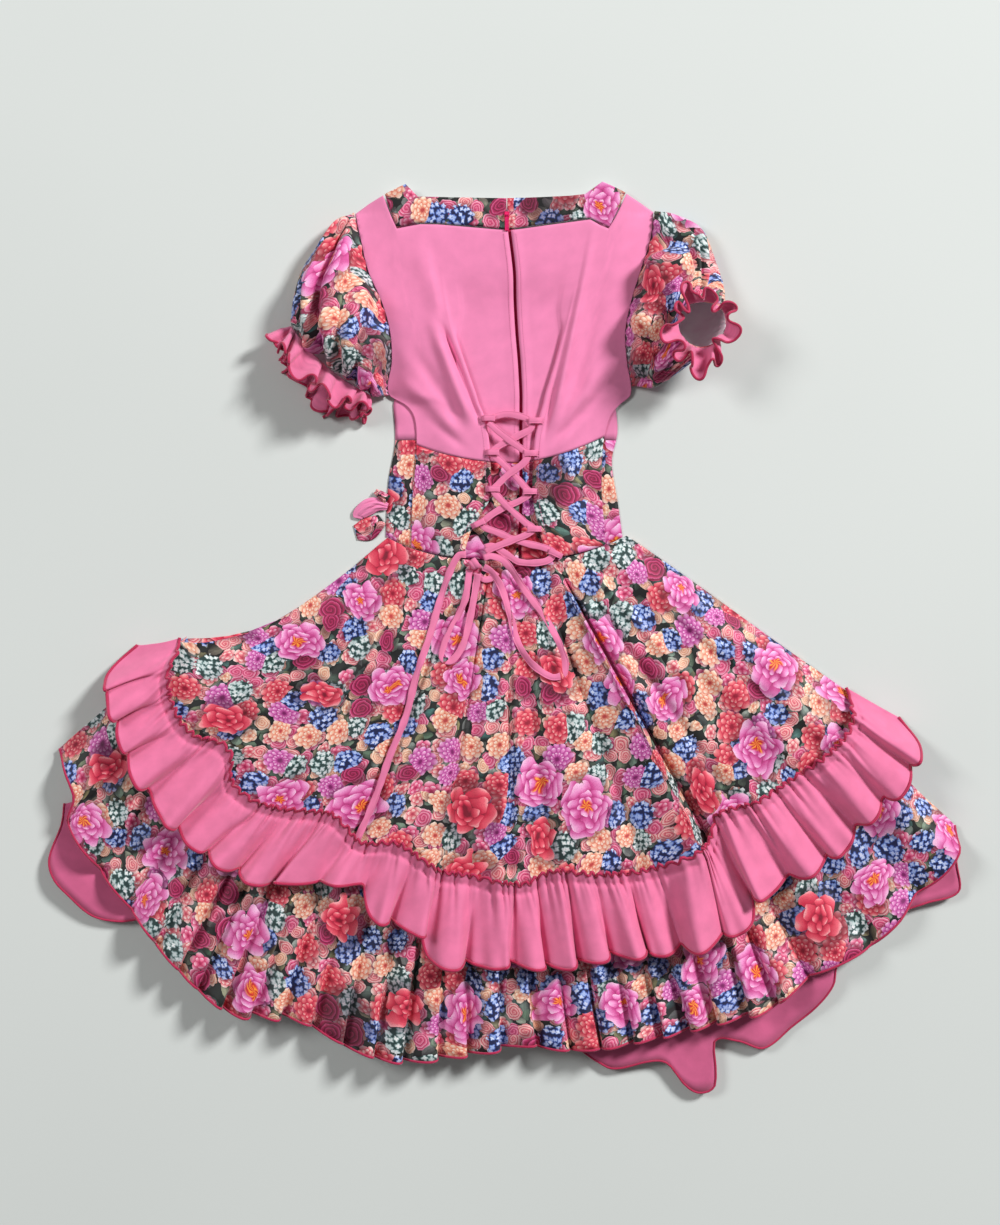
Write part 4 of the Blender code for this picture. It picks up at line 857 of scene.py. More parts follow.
def row_lengths(points, closed):
    loop = looped(points, closed)
    across = np.zeros(loop.shape[:2])
    across[:, 1:] = np.cumsum(np.linalg.norm(np.diff(loop, axis=1), axis=2), axis=1)
    return across


def flat_cut(points, closed=False):
    """Where each point lies on the cloth before sewing, from lengths along the rows and down the columns."""
    across = row_lengths(points, closed)
    across -= across[:, -1:] / 2
    down = np.zeros(points.shape[:2])
    down[1:] = np.cumsum(np.linalg.norm(np.diff(points, axis=0), axis=2), axis=0)
    down = np.broadcast_to(down.mean(axis=1, keepdims=True), across.shape)
    return np.stack([across, -down], axis=2)


def level_cut(points):
    """The cut of a panel that lies level, which is its own outline."""
    return points[:, :, :2]


def upright_cut(points, anchor):
    """The cut of a flat panel: its own height, and lengths along each row from one column's place."""
    across = row_lengths(points, False)
    across += (points[:, anchor, 0] - across[:, anchor])[:, None]
    return np.stack([across, points[:, :, 1]], axis=2)


def fan_cut(points, taken_up=1.0):
    """The cut of a panel of the skirt: its real radius, and its folds opened by the share taken up."""
    away = points[:, :, :2] - np.array([FAN_X, FAN_Y])
    reach = np.linalg.norm(away, axis=2)
    step = np.diff(points, axis=1)
    level = np.linalg.norm(step[:, :, :2], axis=2)
    opened = level + taken_up * (np.linalg.norm(step, axis=2) - level)
    turn = np.concatenate([[0.0], np.cumsum((opened / reach[:, 1:]).mean(axis=0))])
    turn -= turn[-1] / 2
    return np.stack([reach * np.sin(turn), -reach * np.cos(turn)], axis=2)


def grid_mesh(name, points, cut, closed=False, flip=False):
    """A sheet of quads through rows of points, with its flat cut as the UV map."""
    rows, columns = points.shape[:2]
    placed = (points - np.array([CENTRE_X, CENTRE_Y, 0])) * MM
    spans = columns if closed else columns - 1
    i, j = np.meshgrid(np.arange(rows - 1), np.arange(spans), indexing="ij")
    k = (j + 1) % columns
    corners = [i * columns + j, (i + 1) * columns + j, (i + 1) * columns + k, i * columns + k]
    places = [(i, j), (i + 1, j), (i + 1, j + 1), (i, j + 1)]
    if flip:
        corners.reverse()
        places.reverse()
    faces = np.stack(corners, axis=2).reshape(-1, 4)
    mesh = bpy.data.meshes.new(name)
    mesh.from_pydata(placed.reshape(-1, 3).tolist(), [], faces.tolist())
    layer = mesh.uv_layers.new(name="Cut")
    flat = np.stack([cut[a, b] for a, b in places], axis=2).reshape(-1, 2) * MM
    layer.data.foreach_set("uv", flat.astype(np.float32).ravel())
    mesh.shade_smooth()
    return mesh


def cloth_area(points, closed):
    loop = looped(points, closed)
    a, b, c, d = loop[:-1, :-1], loop[1:, :-1], loop[1:, 1:], loop[:-1, 1:]
    crossed = np.linalg.norm(np.cross(c - a, d - b), axis=2) / 2
    return float(crossed.sum()) * MM * MM


def sheet(node, rows, finish, cut=None, closed=False, flip=False, two_sided=False, shift=(0, 0),
          held="laid", rests_on=()):
    """A piece of cloth: a thin shell through rows of points.

    The shift moves the print on the cloth. Two-sided cloth shows its unprinted reverse.
    """
    points = np.array(rows, dtype=float)
    flat = cut(points) if cut else flat_cut(points, closed)
    name = node + "_cloth"
    mesh = grid_mesh(name, points, flat + np.array(shift), closed, flip)
    piece = add_piece(name, mesh, finish)
    thicken = piece.modifiers.new("Wall", "SOLIDIFY")
    thicken.thickness = look().cloth_wall
    thicken.offset = 0
    if two_sided:
        mesh.materials.append(finish_of("floral_reverse"))
        thicken.material_offset = 1
    bpy.context.view_layer.objects.active = piece
    bpy.ops.object.modifier_apply(modifier=thicken.name)
    on_dress(piece, finish, node)
    width = row_lengths(points, closed)[:, -1].max() * MM
    length = np.linalg.norm(np.diff(points, axis=0), axis=2).sum(axis=0).max() * MM
    min(cloth_area(points, closed), width * length)


def close_up(mesh, sides, ring):
    """Weld a tube that runs round to its own start, or close both ends of one that doesn't."""
    shape = bmesh.new()
    shape.from_mesh(mesh)
    if ring:
        bmesh.ops.remove_doubles(shape, verts=shape.verts, dist=1e-6)
    else:
        shape.verts.ensure_lookup_table()
        shape.faces.new(shape.verts[:sides])
        shape.faces.new(shape.verts[len(shape.verts) - sides:])
    bmesh.ops.recalc_face_normals(shape, faces=shape.faces)
    shape.to_mesh(mesh)
    shape.free()


def solid_tube(name, rings, finish, cut=None, ring=False):
    """A closed piece through rings of points."""
    rings = np.array(rings)
    mesh = grid_mesh(name, rings, flat_cut(rings, closed=True) if cut is None else cut, closed=True)
    close_up(mesh, rings.shape[1], ring)
    return add_piece(name, mesh, finish)


def edge_stitch(name, path, radius, ring=False, sides=6):
    """A tube of thread along an edge of the cloth, with lengths along it and turns round it as its cut."""
    path = np.array(path, dtype=float)
    if ring:
        ahead = np.roll(path, -1, axis=0) - np.roll(path, 1, axis=0)
    else:
        ahead = np.gradient(path, axis=0)
    ahead /= np.maximum(np.linalg.norm(ahead, axis=1, keepdims=True), 1e-9)
    level = np.stack([ahead[:, 1], -ahead[:, 0], np.zeros(len(path))], axis=1)
    size = np.linalg.norm(level, axis=1, keepdims=True)
    level = np.where(size > 1e-6, level / np.maximum(size, 1e-6), np.array([1.0, 0, 0]))
    rise = np.cross(level, ahead)
    turns = np.arange(sides) * math.tau / sides
    rings = (path[:, None] + radius * (np.cos(turns)[None, :, None] * level[:, None]
                                       + np.sin(turns)[None, :, None] * rise[:, None]))
    along = np.concatenate([[0.0], np.cumsum(np.linalg.norm(np.diff(path, axis=0), axis=1))])
    if ring:
        rings = np.concatenate([rings, rings[:1]], axis=0)
        along = np.append(along, along[-1] + np.linalg.norm(path[0] - path[-1]))
    around = np.arange(sides + 1) * math.tau / sides
    cut = np.stack(np.broadcast_arrays(along[:, None], around[None, :]), axis=2)
    on_dress(solid_tube(name, rings, "edge_thread", cut, ring), "edge_thread")


def edge_radius(share=1.0):
    return look().edge_radius / MM * share


def shares(steps):
    return [k / steps for k in range(steps + 1)]


def fan(angle, radius, height):
    turn = math.radians(angle)
    return (FAN_X + radius * math.sin(turn), FAN_Y - radius * math.cos(turn), height)


def waist_radius(angle):
    return WAIST_RADIUS + WAIST_SPREAD * (angle / 60) ** 2


def header_radius(angle):
    return look_up(HEADER, angle)


def header_share(angle, radius):
    """0 at the waist, 1 from the ruffle's gather line."""
    return clamp((radius - WAIST_RADIUS) / (header_radius(angle) - WAIST_RADIUS))


def side_share(angle, radius, left, right, fall=SIDE_FALL):
    """0 at a side edge of a layer, 1 from one fall's width inside it."""
    inside = min(angle - left, right - angle)
    return smooth(math.radians(max(inside, 0)) * radius / fall)


def fold_sum(angle, what):
    return sum(getattr(fold, what) * hump(angle - fold.angle, fold.width) for fold in SKIRT_FOLDS)


def skirt_height(angle, radius):
    """Height of the upper skirt's middle, with its main folds, carried on below the flounce."""
    share = header_share(angle, radius)
    beyond = clamp((radius - header_radius(angle)) / BELOW_HEADER)
    base = SKIRT_WAIST_Z + SKIRT_RISE * smooth(share * 1.8) - 3 * beyond
    return base + fold_sum(angle, "height") * (0.12 + 0.88 * share) * (1 - 0.5 * beyond)


def skirt_lean(angle, radius):
    """Sideways lean of the folds, in degrees."""
    growth = 0.2 + 0.8 * header_share(angle, radius)
    return math.degrees(fold_sum(angle, "lean") * growth / radius)


def skirt_creases(angle, out):
    """The smaller folds, each between its own two shares of the way out."""
    total = 0.0
    for crease in SKIRT_CREASES:
        off = angle - crease.angle
        if abs(off / crease.width) < 3:
            length = smooth((out - crease.start) / 0.15) * (1 - smooth((out - crease.stop + 0.25) / 0.25))
            total += crease.height * hump(off, crease.width) * length
    return total


def gathers(angle):
    """Uneven small gathers along a gather line, from -1 to 1."""
    phase = math.tau * angle / GATHER_PITCH
    return 0.7 * math.sin(phase + 1.4 * math.sin(angle * 0.9)) + 0.3 * math.sin(phase * 1.7 + 2.0)


WavePoint = namedtuple("WavePoint", "across height lean bulge")


def wave_columns(waves, end, steps):
    """Points along uneven waves: shares of the way across, heights, leans, and bulges in degrees."""
    columns = []
    stops = [wave.start for wave in waves[1:]] + [end]
    for number, (wave, stop) in enumerate(zip(waves, stops)):
        narrow = 0.8 + 1.4 * (number * UNEVEN % 1)
        for k in range(steps):
            share = k / steps
            crest = math.sin(math.pi * share) ** narrow if k else 0.0
            bulge = -BULGE * (stop - wave.start) * math.sin(math.tau * share)
            across = (lerp(wave.start, stop, share) - waves[0].start) / (end - waves[0].start)
            columns.append(WavePoint(across, wave.height * crest, wave.lean * crest * LEAN_SHARE, bulge))
    columns.append(WavePoint(1.0, 0.0, 0.0, 0.0))
    return columns


def fan_rows(columns, outs, sides, point_of):
    """Rows of a back layer, from its share of the way out and its place between its two sides."""
    rows = []
    for out in outs:
        edges = [look_up(side, max(out, 0)) for side in sides]
        rows.append([point_of(out, lerp(*edges, wave.across), edges, wave) for wave in columns])
    return rows


def flounce_growth(angle, radius):
    header = header_radius(angle)
    return clamp((radius - header) / (look_up(HEM, angle) - header)) ** 1.2


def make_skirt_back():
    def point(out, angle, edges, wave):
        radius = lerp(waist_radius(angle) + SEAM, header_radius(angle) + 3, out)
        share = side_share(angle, radius, *edges)
        pucker = gathers(angle * 1.3) * 1.1 * smooth((out - 0.9) / 0.1)
        height = lerp(SIDE_Z, skirt_height(angle, radius) + skirt_creases(angle, out) + pucker, share)
        return fan(angle + skirt_lean(angle, radius) * share, radius, height)

    rows = fan_rows(wave_columns(FLOUNCE_WAVES, FLOUNCE_END, 10), shares(60), (SKIRT_LEFT, SKIRT_RIGHT),
                    point)
    sheet("skirt_back", rows, "printed_cloth", lambda points: fan_cut(points, 0.6), two_sided=True,
          rests_on=["underskirt_back_cloth"])


def make_flounce_back():
    def point(out, angle, edges, wave):
        radius = lerp(header_radius(angle) + 3 + 2 * SEAM, look_up(HEM, angle), out)
        share = side_share(angle, radius, *edges)
        growth = flounce_growth(angle, radius)
        top = skirt_height(angle, radius) + wave.height * growth
        shift = (math.degrees(wave.lean * growth / radius) + skirt_lean(angle, radius) * (1 - out)
                 + wave.bulge * growth)
        return fan(angle + shift * share, radius, lerp(SIDE_Z, top, share))

    rows = fan_rows(wave_columns(FLOUNCE_WAVES, FLOUNCE_END, 14), shares(24), (FLOUNCE_LEFT, FLOUNCE_RIGHT),
                    point)
    sheet("flounce_back", rows, "printed_cloth", lambda points: fan_cut(points, 0.3), two_sided=True,
          shift=(137, 61), held="gathered", rests_on=["underskirt_back_cloth"])
    edge_stitch("flounce_back_edge", rows[-1], edge_radius(0.8))


def ruffle_reach(angle, edges, spread, free, crest):
    """Radius of the ruffle: out to its scalloped edge, and in to its zigzag heading, which ends plain."""
    scallop = HEM_SCALLOP * (crest - 0.6) * spread ** 3
    inside = smooth(min(angle - edges[0], edges[1] - angle) / 2.5)
    heading = free * inside * (HEADING + HEADING_ZIGZAG * gathers(angle)) + free * 2
    return lerp(header_radius(angle), look_up(RUFFLE_EDGE, angle), spread) + scallop - heading


def ruffle_gathers(angle, spread, free):
    """Height of the small gathers by the seam, and of the ripples towards the hem."""
    pinch, second = gathers(angle), gathers(angle * 0.61 + 20)
    fade = 0.5 + 0.7 * free if free else math.exp(-spread * 4.5)
    small = GATHER_HEIGHT * (0.5 + 0.5 * pinch) * fade
    small += SECOND_GATHERS * (0.5 + 0.5 * second) * math.exp(-spread * 1.8)
    return small + HEM_RIPPLE * math.sin(angle * 3.7 + 2 * math.sin(angle * 0.41)) * spread ** 2


def make_ruffle_back():
    def point(out, angle, edges, wave):
        spread, free = max(out, 0), max(-out, 0)
        radius = ruffle_reach(angle, edges, spread, free, wave.height / USUAL_WAVE)
        growth = 0.16 + 0.84 * spread ** 0.8
        clear = FLOUNCE_FOLD * flounce_growth(angle, radius) + OVER_FLOUNCE
        from_line = free * HEADING + spread * RUFFLE_DEPTH
        lift = RUFFLE_LIFT * (1 + 0.2 * math.sin(angle * 0.83 + 1))
        top = (skirt_height(angle, radius) + clear + wave.height * lift * growth
               + ruffle_gathers(angle, spread, free) - GATHER_LINE * hump(from_line, 3) + 2.0 * free)
        side_z = lerp(SIDE_Z + 2.4, SIDE_Z - 1.9, smooth(spread * 1.5))
        share = side_share(angle, radius, *edges, 30)
        shift = (math.degrees(wave.lean * growth / radius) + skirt_lean(angle, radius) * (1 - spread)
                 + wave.bulge * spread)
        return fan(angle + shift * share, radius, lerp(side_z, top, share))

    outs = [-1, -0.8, -0.6, -0.4, -0.2, 0, 0.02]
    outs += [lerp(0.045, 1, share ** 1.1) for share in shares(20)]
    rows = fan_rows(wave_columns(RUFFLE_WAVES, RUFFLE_END, 24), outs, (RUFFLE_LEFT, RUFFLE_RIGHT), point)
    sheet("ruffle_back", rows, "ruffle_crepe", fan_cut, held="gathered", rests_on=["flounce_back_cloth"])
    edge_stitch("ruffle_back_edge", rows[-1], edge_radius())
    edge_stitch("ruffle_back_heading_edge", rows[0], edge_radius())


def flat_fan(node, finish, rings, sides, height, columns, **facts):
    """A front or under layer through rings of stated radius. Returns its hem."""
    rows = []
    for reach in [k / FLAT_STEPS for k in range(FLAT_STEPS * (len(rings) - 1) + 1)]:
        n = min(int(reach), len(rings) - 2)

        def between(angle):
            return lerp(rings[n](angle), rings[n + 1](angle), reach - n)

        row = []
        for across in shares(columns):
            middle = lerp(look_up(sides[0], 0.5), look_up(sides[1], 0.5), across)
            out = (between(middle) - rings[0](middle)) / (rings[-1](middle) - rings[0](middle))
            left, right = look_up(sides[0], out), look_up(sides[1], out)
            angle = lerp(left, right, across)
            radius = between(angle)
            inside = math.radians(min(angle - left, right - angle)) * radius
            row.append(fan(angle, radius, height(angle, radius, inside)))
        rows.append(row)
    sheet(node, rows, finish, fan_cut, shift=(410, 230), **facts)
    return rows[-1]


def make_front_layers():
    def turned_up(inside):
        return SIDE_TURN * (1 - smooth(inside / 16))

    def skirt_z(angle, radius, inside):
        near_header = smooth((radius - header_radius(angle) + 60) / 40)
        return HALF + turned_up(inside) * (1 - near_header)

    def flounce_z(angle, radius, inside):
        past = smooth((radius - ruffle_radius(angle) - 6) / 20)
        return max(lerp(OVER_RUFFLE_Z, HALF, past), HALF + turned_up(inside))

    def ruffle_radius(angle):
        return look_up(RUFFLE_EDGE, angle)

    flat_fan("skirt_front", "printed_cloth",
             [lambda a: waist_radius(a) + 1, lambda a: header_radius(a) - 60, lambda a: header_radius(a) - 5],
             (SKIRT_LEFT, SKIRT_RIGHT), skirt_z, 96)
    hem = flat_fan("ruffle_front", "ruffle_crepe",
                   [lambda a: header_radius(a) + 5, lambda a: ruffle_radius(a) - 6],
                   (RUFFLE_LEFT, RUFFLE_RIGHT), lambda *place: HALF, 160)
    edge_stitch("ruffle_front_edge", hem, HALF)
    hem = flat_fan("flounce_front", "printed_cloth",
                   [lambda a: header_radius(a) - 12, lambda a: ruffle_radius(a) + 6,
                    lambda a: ruffle_radius(a) + 30, lambda a: look_up(HEM, a) - 10],
                   (FLOUNCE_LEFT, FLOUNCE_RIGHT), flounce_z, 160)
    edge_stitch("flounce_front_edge", hem, HALF)


def make_under_layers():
    def back_z(angle, radius, inside):
        beyond = smooth((radius - 640) / 90)
        ripple = math.sin(math.radians(angle * 36)) + math.sin(math.radians(angle * 23 + 40))
        return UNDER_BACK_Z + beyond * (4.4 + 2.4 * ripple)

    sides = (UNDER_LEFT, UNDER_RIGHT)
    flat_fan("underskirt_front", "under_crepe", [lambda a: 200, lambda a: 650], sides,
             lambda *place: UNDER_FRONT_Z, 48)
    hem = flat_fan("underskirt_back", "under_crepe",
                   [lambda a: 200, lambda a: 560, lambda a: 655, lambda a: look_up(UNDER_HEM, a)],
                   sides, back_z, 320, rests_on=["underskirt_front_cloth"])
    edge_stitch("underskirt_back_edge", hem, edge_radius(0.7))


def edge_height(y):
    """Height of the back's side edge: raised along the armhole, low at the shoulder and side seam."""
    along = clamp((y - UNDERARM_Y) / (SHOULDER_Y - UNDERARM_Y))
    return BODICE_EDGE_Z + 9 * math.sin(math.pi * along) ** 0.6


def sunk_share(folded):
    return smooth(folded * 2.2)


def panel_height(y):
    """Height of the cloth beside the zip, which sinks where the flaps stand over it."""
    return lerp(FLAP_Z, PANEL_Z, sunk_share(look_up(BODICE, y, FOLDED)))


def seam_y(x):
    """The seam between bodice and midriff, which rises to both sides."""
    steep = 0.0018 if x < 5 else 0.0025
    return 210 + steep * (x - 5) ** 2


def waist_y(x):
    """The waist's seam, found by steps on the fan's own curve."""
    y = 95.0
    for _ in range(12):
        angle = math.degrees(math.atan2(x - FAN_X, FAN_Y - y))
        radius = waist_radius(angle)
        y = (y + FAN_Y - math.sqrt(max(radius ** 2 - (x - FAN_X) ** 2, 1.0))) / 2
    return y


def crease_height(x, y):
    """Sum of the bodice's soft troughs and ridges near a point."""
    total = 0.0
    for crease in BODICE_CREASES:
        dx, dy = crease.x1 - crease.x0, crease.y1 - crease.y0
        length = math.hypot(dx, dy)
        along = ((x - crease.x0) * dx + (y - crease.y0) * dy) / length ** 2
        off = ((x - crease.x0) * dy - (y - crease.y0) * dx) / length
        if -PAST_END < along < 1 + PAST_END and abs(off) < 3 * crease.width:
            taper = smooth((along + PAST_END) / 0.5) * smooth((1 + PAST_END - along) / 0.35)
            total += crease.height * taper * hump(off, crease.width)
    return total


def back_point(side, across, beyond, y):
    """A point of a back half: across runs 0 to 1 from the side to the flap's edge, beyond is past it."""
    edge = look_up(BODICE, y, SIDE_COLUMN[side])
    fold = look_up(BODICE, y, FOLD_COLUMN[side])
    if beyond is None:
        x = lerp(edge, fold, across)
        rise = smooth(abs(x - edge) / BODICE_FALL)
        z = lerp(edge_height(y), FLAP_Z, rise)
        return x, y, z + crease_height(x, y) * rise * smooth((1 - across) * 6)
    centre = look_up(BODICE, y, ZIP) + side * ZIP_SLIT
    folded = look_up(BODICE, y, FOLDED)
    under = 1 if fold > centre else -1
    flat_x = lerp(fold, centre, beyond.flat)
    tucked_x = fold + under * FOLD_DEPTH * beyond.in_from_edge
    if beyond.flat > PANEL_START:
        start = fold + under * FOLD_DEPTH * FOLD[-1].in_from_edge
        tucked_x = lerp(start, centre, (beyond.flat - PANEL_START) / (1 - PANEL_START))
    tucked_z = lerp(FLAP_Z, PANEL_Z, beyond.level / 2)
    x = lerp(flat_x, tucked_x, smooth((folded - 0.35) / 0.65))
    ridge = ZIP_RIDGE * smooth((10 - abs(x - centre)) / 2.5) * smooth((beyond.flat - 0.5) * 4)
    return x, y, lerp(FLAP_Z, tucked_z, sunk_share(folded)) + ridge


BackColumn = namedtuple("BackColumn", "across beyond top")


def back_columns(tops):
    """Columns of a back half, with the tops' corners kept and the fold's curve followed closely."""
    columns = []
    for low, high in zip(tops, tops[1:]):
        for share in shares(ACROSS_STEPS)[:-1]:
            columns.append(BackColumn(lerp(low.across, high.across, share), None, lerp(low.y, high.y, share)))
    columns.append(BackColumn(tops[-1].across, None, tops[-1].y))
    curve = [(0, 0.0, 0.0, 0.0)] + [(n + 1, *point) for n, point in enumerate(FOLD)]
    past = [FoldPoint(*(look_up(curve, k / 6, column) for column in (1, 2, 3)))
            for k in range(1, 6 * len(FOLD) + 1)]
    past += [FoldPoint(lerp(PANEL_START, 1, k / 12), 0, 2.0) for k in range(1, 13)]
    for point in past:
        columns.append(BackColumn(1.01, point, lerp(tops[-1].y, NECK_AT_ZIP_Y, point.flat)))
    return columns


def make_back_half(side, which):
    tops = TOP_LEFT if side < 0 else TOP_RIGHT
    columns = back_columns(tops)
    anchor = ACROSS_STEPS * (len(tops) - 1)

    def strip(node, finish, steps, top_of, bottom_of, **facts):
        rows = []
        for share in shares(steps):
            row = []
            for column in columns:
                y = lerp(top_of(column), bottom_of(column), share)
                x, y, z = back_point(side, column.across, column.beyond, y)
                row.append((x, y, z - 0.5 * math.exp(-min(share, 1 - share) * steps * 0.8)))
            rows.append(row)
        sheet(node + which, rows, finish, lambda points: upright_cut(points, anchor), flip=side > 0,
              shift=(side * 260, 40), **facts)

    def x_at(column, y):
        return back_point(side, column.across, column.beyond, y)[0]

    strip("bodice_back_", "bodice_crepe", 96, lambda column: column.top,
          lambda column: seam_y(x_at(column, 215)) + SEAM)
    strip("midriff_back_", "printed_cloth", 34, lambda column: seam_y(x_at(column, 215)) - SEAM,
          lambda column: waist_y(x_at(column, 98)) + WAIST_GAP, two_sided=True)


def make_neck_band(node, table, side):
    pairs = [[lerp(a, b, k / 10) for a, b in zip(low, high)] for low, high in zip(table, table[1:])
             for k in range(10)]
    rows = [[band_point(pair, share) for pair in pairs + [table[-1]]] for share in shares(10)]
    sheet(node, rows, "printed_cloth", level_cut, flip=side > 0, two_sided=True, shift=(side * 333, 170))


def band_point(pair, share):
    """A point between a band's inner and outer edge, over the bodice's own height."""
    x = lerp(pair[0], pair[2], share)
    y = lerp(pair[1], pair[3], share)
    side_x = look_up(BODICE, min(y, SHOULDER_Y), SIDE_LEFT if x < 0 else SIDE_RIGHT)
    rise = smooth(abs(side_x - x) / BODICE_FALL)
    roll = 0.7 * math.exp(-(1 - share) * 9) + 0.5 * math.exp(-share * 9)
    return (x, y, lerp(edge_height(min(y, SHOULDER_Y)), FLAP_Z, rise) + 0.5 - roll)


def front_side(y, table, hidden):
    return lerp(hidden, look_up(table, y), smooth((UNDERARM_Y + 4 - y) / 14))


def front_top(across):
    """Top edge of the front, which dips to the neckline between the shoulders."""
    return FRONT_SHOULDER_Y - FRONT_NECK_DROP * smooth((FRONT_NECK_HALF - abs(across - 0.5)) * 12)


def make_front_bodice():
    def strip(node, finish, top_of, bottom_of, steps):
        rows = []
        for share in shares(steps):
            row = []
            for across in shares(60):
                y = lerp(top_of(across), bottom_of(across), share)
                left = front_side(y, FRONT_LEFT, look_up(BODICE, y, SIDE_LEFT) + 6)
                right = front_side(y, FRONT_RIGHT, look_up(BODICE, y, SIDE_RIGHT) - 6)
                row.append((lerp(left, right, across), y, HALF))
            rows.append(row)
        sheet(node, rows, finish, level_cut, shift=(520, -90))

    strip("bodice_front", "bodice_crepe", front_top, lambda across: FRONT_SEAM_Y + SEAM, 32)
    strip("midriff_front", "printed_cloth", lambda across: FRONT_SEAM_Y - SEAM,
          lambda across: waist_y(lerp(-142, 145, across)) + 0.4, 20)


def ring_point(ring, turn):
    cosine, sine = math.cos(turn), math.sin(turn)
    point = (Vector(ring.centre) + Vector(ring.along) * cosine + Vector(ring.up) * sine
             + Vector(ring.bulge) * sine * sine)
    point.z = max(point.z, HALF)
    return point


def ring_between(rings, share):
    """A ring at a share of the way along a sleeve, on smooth curves through the stated ones."""
    table = [(number / (len(rings) - 1), *(value for part in ring for value in part))
             for number, ring in enumerate(rings)]
    values = [look_up(table, share, column) for column in range(1, 13)]
    return Ring(values[0:3], values[3:6], values[6:9], values[9:12])


def sleeve_crease(degrees, share, creases):
    """Sum of the sleeve's creases near a place round it and along it."""
    total = 0.0
    for crease in creases:
        along = (share - crease.share0) / (crease.share1 - crease.share0)
        off = math.radians(degrees - lerp(crease.turn0, crease.turn1, along))
        if -PAST_END < along < 1 + PAST_END and abs(off / crease.width) < 3:
            taper = smooth((along + PAST_END) / 0.4) * smooth((1 + PAST_END - along) / 0.3)
            total += crease.height * taper * hump(off, crease.width)
    return total


def plain_sleeve(rings, side):
    """Rows of a sleeve without its creases, from an edge that follows the bodice's armhole."""
    turns = [math.tau * j / SLEEVE_SIDES for j in range(SLEEVE_SIDES)]
    rows = []
    for share in shares(SLEEVE_ROWS):
        ring = ring_between(rings, share)
        row = []
        for turn in turns:
            point, armhole = ring_point(ring, turn), ring_point(rings[0], turn)
            shift = look_up(BODICE, armhole.y, SIDE_COLUMN[side]) - armhole.x + side * ARMHOLE_GAP
            point.x += shift * (1 - share) ** 2
            row.append(point)
        rows.append(row)
    return rows


def make_sleeve(node, rings, side, creases):
    """A puffed tube from the armhole to the cuff seam, creased along the cloth's own normal."""
    plain = plain_sleeve(rings, side)
    rows = []
    for i, (row, share) in enumerate(zip(plain, shares(SLEEVE_ROWS))):
        before, after = plain[max(i - 1, 0)], plain[min(i + 1, SLEEVE_ROWS)]
        creased = []
        for j, point in enumerate(row):
            if point.z > HALF + 0.01:
                turn = math.tau * j / SLEEVE_SIDES
                around = row[(j + 1) % SLEEVE_SIDES] - row[j - 1]
                normal = (around.cross(after[j] - before[j]) * side).normalized()
                pucker = math.sin(SLEEVE_GATHERS * turn + 2 * math.sin(3 * turn))
                ends = 1.3 * math.exp(-share * 11)
                ends += 2.0 * math.exp(-(1 - share) * 7) * smooth((1 - share) * 25)
                rise = sleeve_crease(math.degrees(turn), share, creases) * smooth(share * 6) + pucker * ends
                rise = max(rise, -0.6 * (point.z - HALF))
                point = point + normal * (rise * smooth((point.z - 2) / 6))
                point.z = max(point.z, HALF)
            creased.append(tuple(point))
        rows.append(creased)
    sheet(node, rows, "printed_cloth", closed=True, flip=side > 0, two_sided=True, shift=(side * 190, 77),
          held="gathered")


def meander(swing, steps=96):
    """One wave of a gathered edge: place along it and off it, both for a wave one unit long."""
    along, off = [0.0], [0.0]
    for k in range(steps):
        heading = swing * math.sin(math.tau * (k + 0.5) / steps)
        along.append(along[-1] + math.cos(heading))
        off.append(off[-1] + math.sin(heading))
    middle = sum(off) / len(off)
    return [(k / steps, a / along[-1], (o - middle) / along[-1]) for k, (a, o) in enumerate(zip(along, off))]


def make_cuff_ruffle(node, ring, table, side):
    """Cloth that runs out from the cuff seam, rising first and then spreading, in swinging frills."""
    around = table + [CuffRow(360, *table[0][1:])]
    seam_points = [ring_point(ring, math.tau * share) for share in shares(90)]
    round_it = sum((b - a).length for a, b in zip(seam_points, seam_points[1:]))
    waves = max(8, round(round_it / CUFF_WAVE))

    def point(out, wave_table, j):
        place, along, off = [look_up(wave_table, (j % CUFF_STEPS) / CUFF_STEPS, n) for n in (0, 1, 2)]
        bend = 0.16 * math.sin(j * 0.083) + 0.1 * math.sin(j * 0.19 + 1)
        turn = math.tau * (j // CUFF_STEPS + along) / waves + bend * 0.5
        seam = ring_point(ring, turn)
        ahead = ring_point(ring, turn + 0.05) - ring_point(ring, turn - 0.05)
        run = Vector([look_up(around, math.degrees(turn) % 360, column) for column in (1, 2, 3)])
        across = ahead.cross(run).normalized()
        wide = (round_it / waves + 5 * out) * (1 + 0.18 * math.sin(j / CUFF_STEPS * 2.3))
        spot = seam + run.normalized() * CUFF_GAP + across * (off * wide * min(1, out * 2.4))
        spot += Vector((run.x * out ** 1.2, run.y * out ** 1.2, run.z * out ** 0.8))
        nod = CUFF_NOD * math.sin(turn * (waves // 2) + 0.6) * out ** 1.5
        spot += (seam - Vector(ring.centre)).normalized() * nod
        spot += run.normalized() * (3.4 * math.sin(math.tau * place * 2) * out)
        spot.z = max(spot.z, HALF)
        return tuple(spot)

    rows = []
    for out in shares(16):
        wave_table = meander(lerp(0.35, CUFF_SWING, out ** 0.45))
        rows.append([point(out, wave_table, j) for j in range(waves * CUFF_STEPS)])
    sheet(node, rows, "ruffle_crepe", closed=True, flip=side > 0, held="gathered")
    edge_stitch(node + "_cloth_edge", rows[-1], edge_radius(0.85), ring=True)


